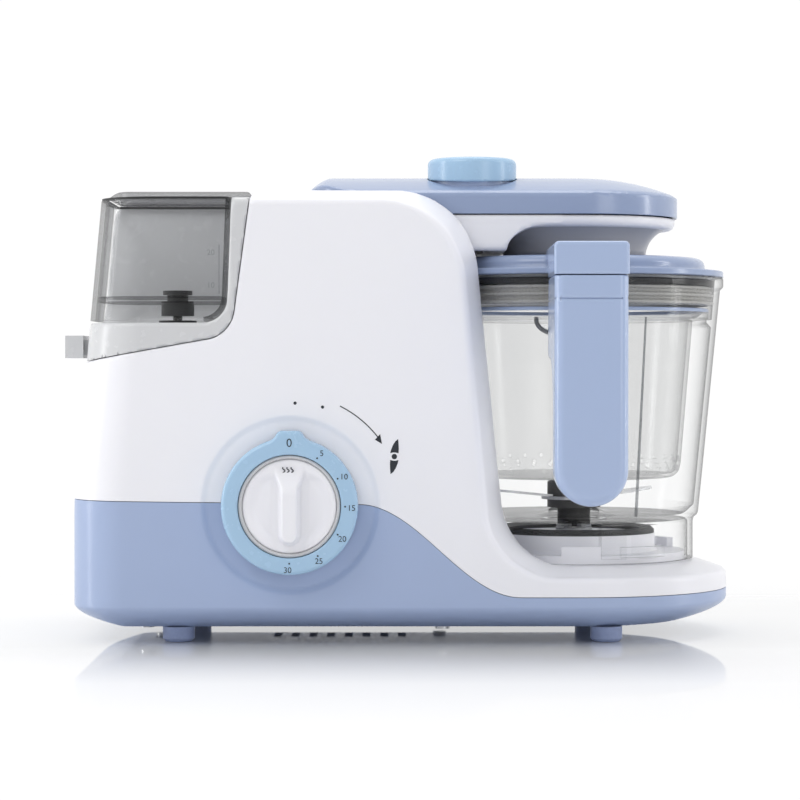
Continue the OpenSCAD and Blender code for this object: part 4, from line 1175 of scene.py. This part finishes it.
def handle_form(x, y, z):
    dx = x - JUG_X
    front = np.where(z > HANDLE_LOW + HANDLE_HALF, np.abs(dx),
                     np.hypot(dx, z - HANDLE_LOW - HANDLE_HALF)) - HANDLE_HALF
    grip = round_min(y - HANDLE_FRONT - HANDLE_T, ROOT_LOW + 11 - z, 25)
    side = np.maximum(np.maximum(HANDLE_FRONT - y, grip), z - HANDLE_TOP)
    form = round_max(round_max(round_max(front, HANDLE_FRONT - y, 4.5), grip, 4.0),
                     z - HANDLE_TOP, 0.5)
    r = np.hypot(dx, y - MID)
    cone = r - np.where(z > 166.5, RIM_R + 0.12, jug_outer(z) + 0.12)
    groove = np.maximum(np.abs(z - 159.1) - 0.35, 0.5 - np.abs(front + 0.0))
    seam_cut = np.maximum(np.abs(z - 159.1) - 0.3, -(np.maximum(front, HANDLE_FRONT - y) + 0.6))
    return np.maximum(np.maximum(form, -cone), -seam_cut)


def lid_form(x, y, z):
    r = np.hypot(x - JUG_X, y - MID)
    drum = round_max(r - 63.7, z - 181.4, 4.2)
    disc = round_min(drum, round_max(r - RIM_R, z - 175.2, 0.8), 1.6)
    tab = round_max(np.abs(x - JUG_X) - HANDLE_HALF - 0.3, z - HANDLE_TOP - 15.2, 2.2)
    tab = round_max(tab, HANDLE_FRONT - y, 1.6)
    tab = np.maximum(np.maximum(tab, y - MID + 50), HANDLE_TOP + 0.5 - z)
    tab = np.maximum(tab, 62 - r)
    joined_form = round_min(np.maximum(disc, RIM_Z + 0.1 - z), tab, 0.8)
    foot = np.where(z < RIM_Z + 0.1, RIM_R + 0.3 - r, -9)
    return np.maximum(np.maximum(joined_form, foot), 9.5 - r)


def make_jug_parts():
    lo, hi = low("jug_handle") - 3, high("jug_handle") + 3
    handle = solid("jug_grip", handle_form, lo, hi, 1.1)
    finish(handle, "jug", BLUE_GLOSS, ["jug_handle"])
    lo, hi = low("jug_lid") - 3, high("jug_lid") + 3
    lo[2] = HANDLE_TOP - 2
    cover = solid("jug_cover", lid_form, lo, hi, 1.2)
    # painted shade: the lid's drum takes the darker arm blue for the shadow under the arm, while the faces
    # of the front tab keep the handle's gloss blue
    finish(cover, "jug_lid", ARM_BLUE_AND_LID_SHADE, ["jug_lid"])
    cover.data.materials.append(BLUE_GLOSS)
    for face in cover.data.polygons:
        face.material_index = int(face.center.y < (MID - RIM_R - 1) * MM)
    centre = (JUG_X, MID)
    plug = lathe("lid_plug", [
        (65.4, RIM_Z), (65.4, 161), (64.9, 160.2), (63.3, 160.2), (62.8, 161), (62.8, RIM_Z),
    ], centre, 192)
    finish(plug, "jug_lid", GREY)
    for node in ("blade_hub", "dock_seal", "jug_dock"):
        bevel(frame["nodes"][node], 0.3)
    bevel(frame["nodes"]["steam_nozzle"], 0.25)


# ---- tank -----------------------------------------------------------------------------------------------

TANK_LOW_Z, TANK_FLOOR = 149.6, 160


def tank_right(z):
    return -80.4 + 0.039 * (z - TANK_LOW_Z)


def skin_left(x, z):
    return (SIDE_X - x + LEAN * np.maximum(z - WAIST_Z, 0)) / math.hypot(1, LEAN)


def tank_form(x, y, z):
    ends = np.maximum(FRONT + 0.4 - y, y - TANK_BACK)
    left = round_max(skin_left(x, z), ends, 24)
    right = round_max(x - tank_right(z), TANK_LOW_Z - 0.05 - z, 11)
    return np.maximum(left, round_max(right, ends, 1.2))


def make_tank():
    lo, hi = low("water_tank") - 3, high("water_tank") + 3
    hi[0], hi[2] = tank_right(TANK_TOP) + 3, TANK_TOP + 4
    top = lambda x, y, z: TANK_TOP - z
    under = lambda x, y, z: np.maximum(z - TANK_LOW_Z - 0.6, x - tank_right(z) + 10)
    tank = shell("tank_wall", tank_form, lo, hi, 1.5, [top, under], 2.2)
    finish(tank, "tank", TANK_SMOKE, ["water_tank"])
    floor_form = lambda x, y, z: round_max(tank_form(x, y, z) + 2.3, np.abs(z - TANK_FLOOR - 0.2) - 1.2, 0.3)
    plate = solid("tank_floor", floor_form, lo, hi, 1.2)
    finish(plate, "tank", TANK_SMOKE)
    marks = [stroke([(-83.4, 162.4), (-83.4, 185)], 0.5, FRONT + 3),
             flat_text("10", -87.2, 166.3, 2.6, FRONT + 3), flat_text("20", -87.2, 181.4, 2.6, FRONT + 3)]
    finish(joined("tank_scale", marks), "tank", PALE_INK)


def cradle_form(x, y, z):
    hull = np.maximum(body_form(x, y, z), tank_corner(x, y, z, -0.3))
    gap = 0.5
    room = np.maximum(x - tank_right(z) - gap, y - TANK_BACK - gap - 0.2)
    room = round_max(room, TANK_LOW_Z - gap - z, 11)
    form = np.maximum(round_max(hull, -room, 0.8), z - TANK_TOP - 0.9)
    button = np.maximum(np.maximum(-x - 170, x + 136), np.abs(y - FRONT - 51) - 12.6)
    button = np.maximum(button, np.abs(z - 138.3) - 5.9)
    return np.maximum(form, -button)


def lid_tank_form(x, y, z):
    form = round_max(body_form(x, y, z), TANK_TOP + 1.2 - z, 0.5)
    right = round_max(x + 69.45, z - BODY_H + 1.5, 2.2)
    return np.maximum(np.maximum(form, right), y - TANK_BACK - 1.8)


def make_tank_parts():
    lo, hi = low("tank_cradle") - 3, high("tank_cradle") + 3
    cradle = solid("cradle_shell", cradle_form, lo, hi, 1.5)
    finish(cradle, "housing", GREY, ["tank_cradle"])
    lo, hi = low("tank_lid") - 3, high("tank_lid") + 3
    cover = solid("tank_cover", lid_tank_form, lo, hi, 1.3)
    finish(cover, "tank_lid", TANK_SMOKE, ["tank_lid"])
    bevel(frame["nodes"]["release_button"], 1.4, 4)


def make_small_parts():
    for node in ("foot_front_left", "foot_front_right", "foot_rear_left", "foot_rear_right"):
        bevel(frame["nodes"][node], 0.5)
    bevel(frame["nodes"]["cord_gland"], 0.4)
    bevel(frame["nodes"]["blades"], 0.2)


make_camera()
make_studio()
paint_cad_nodes()
make_housing()
make_arm()
make_knob()
make_print()
make_jug()
make_basket()
make_jug_parts()
make_tank()
make_tank_parts()
make_small_parts()
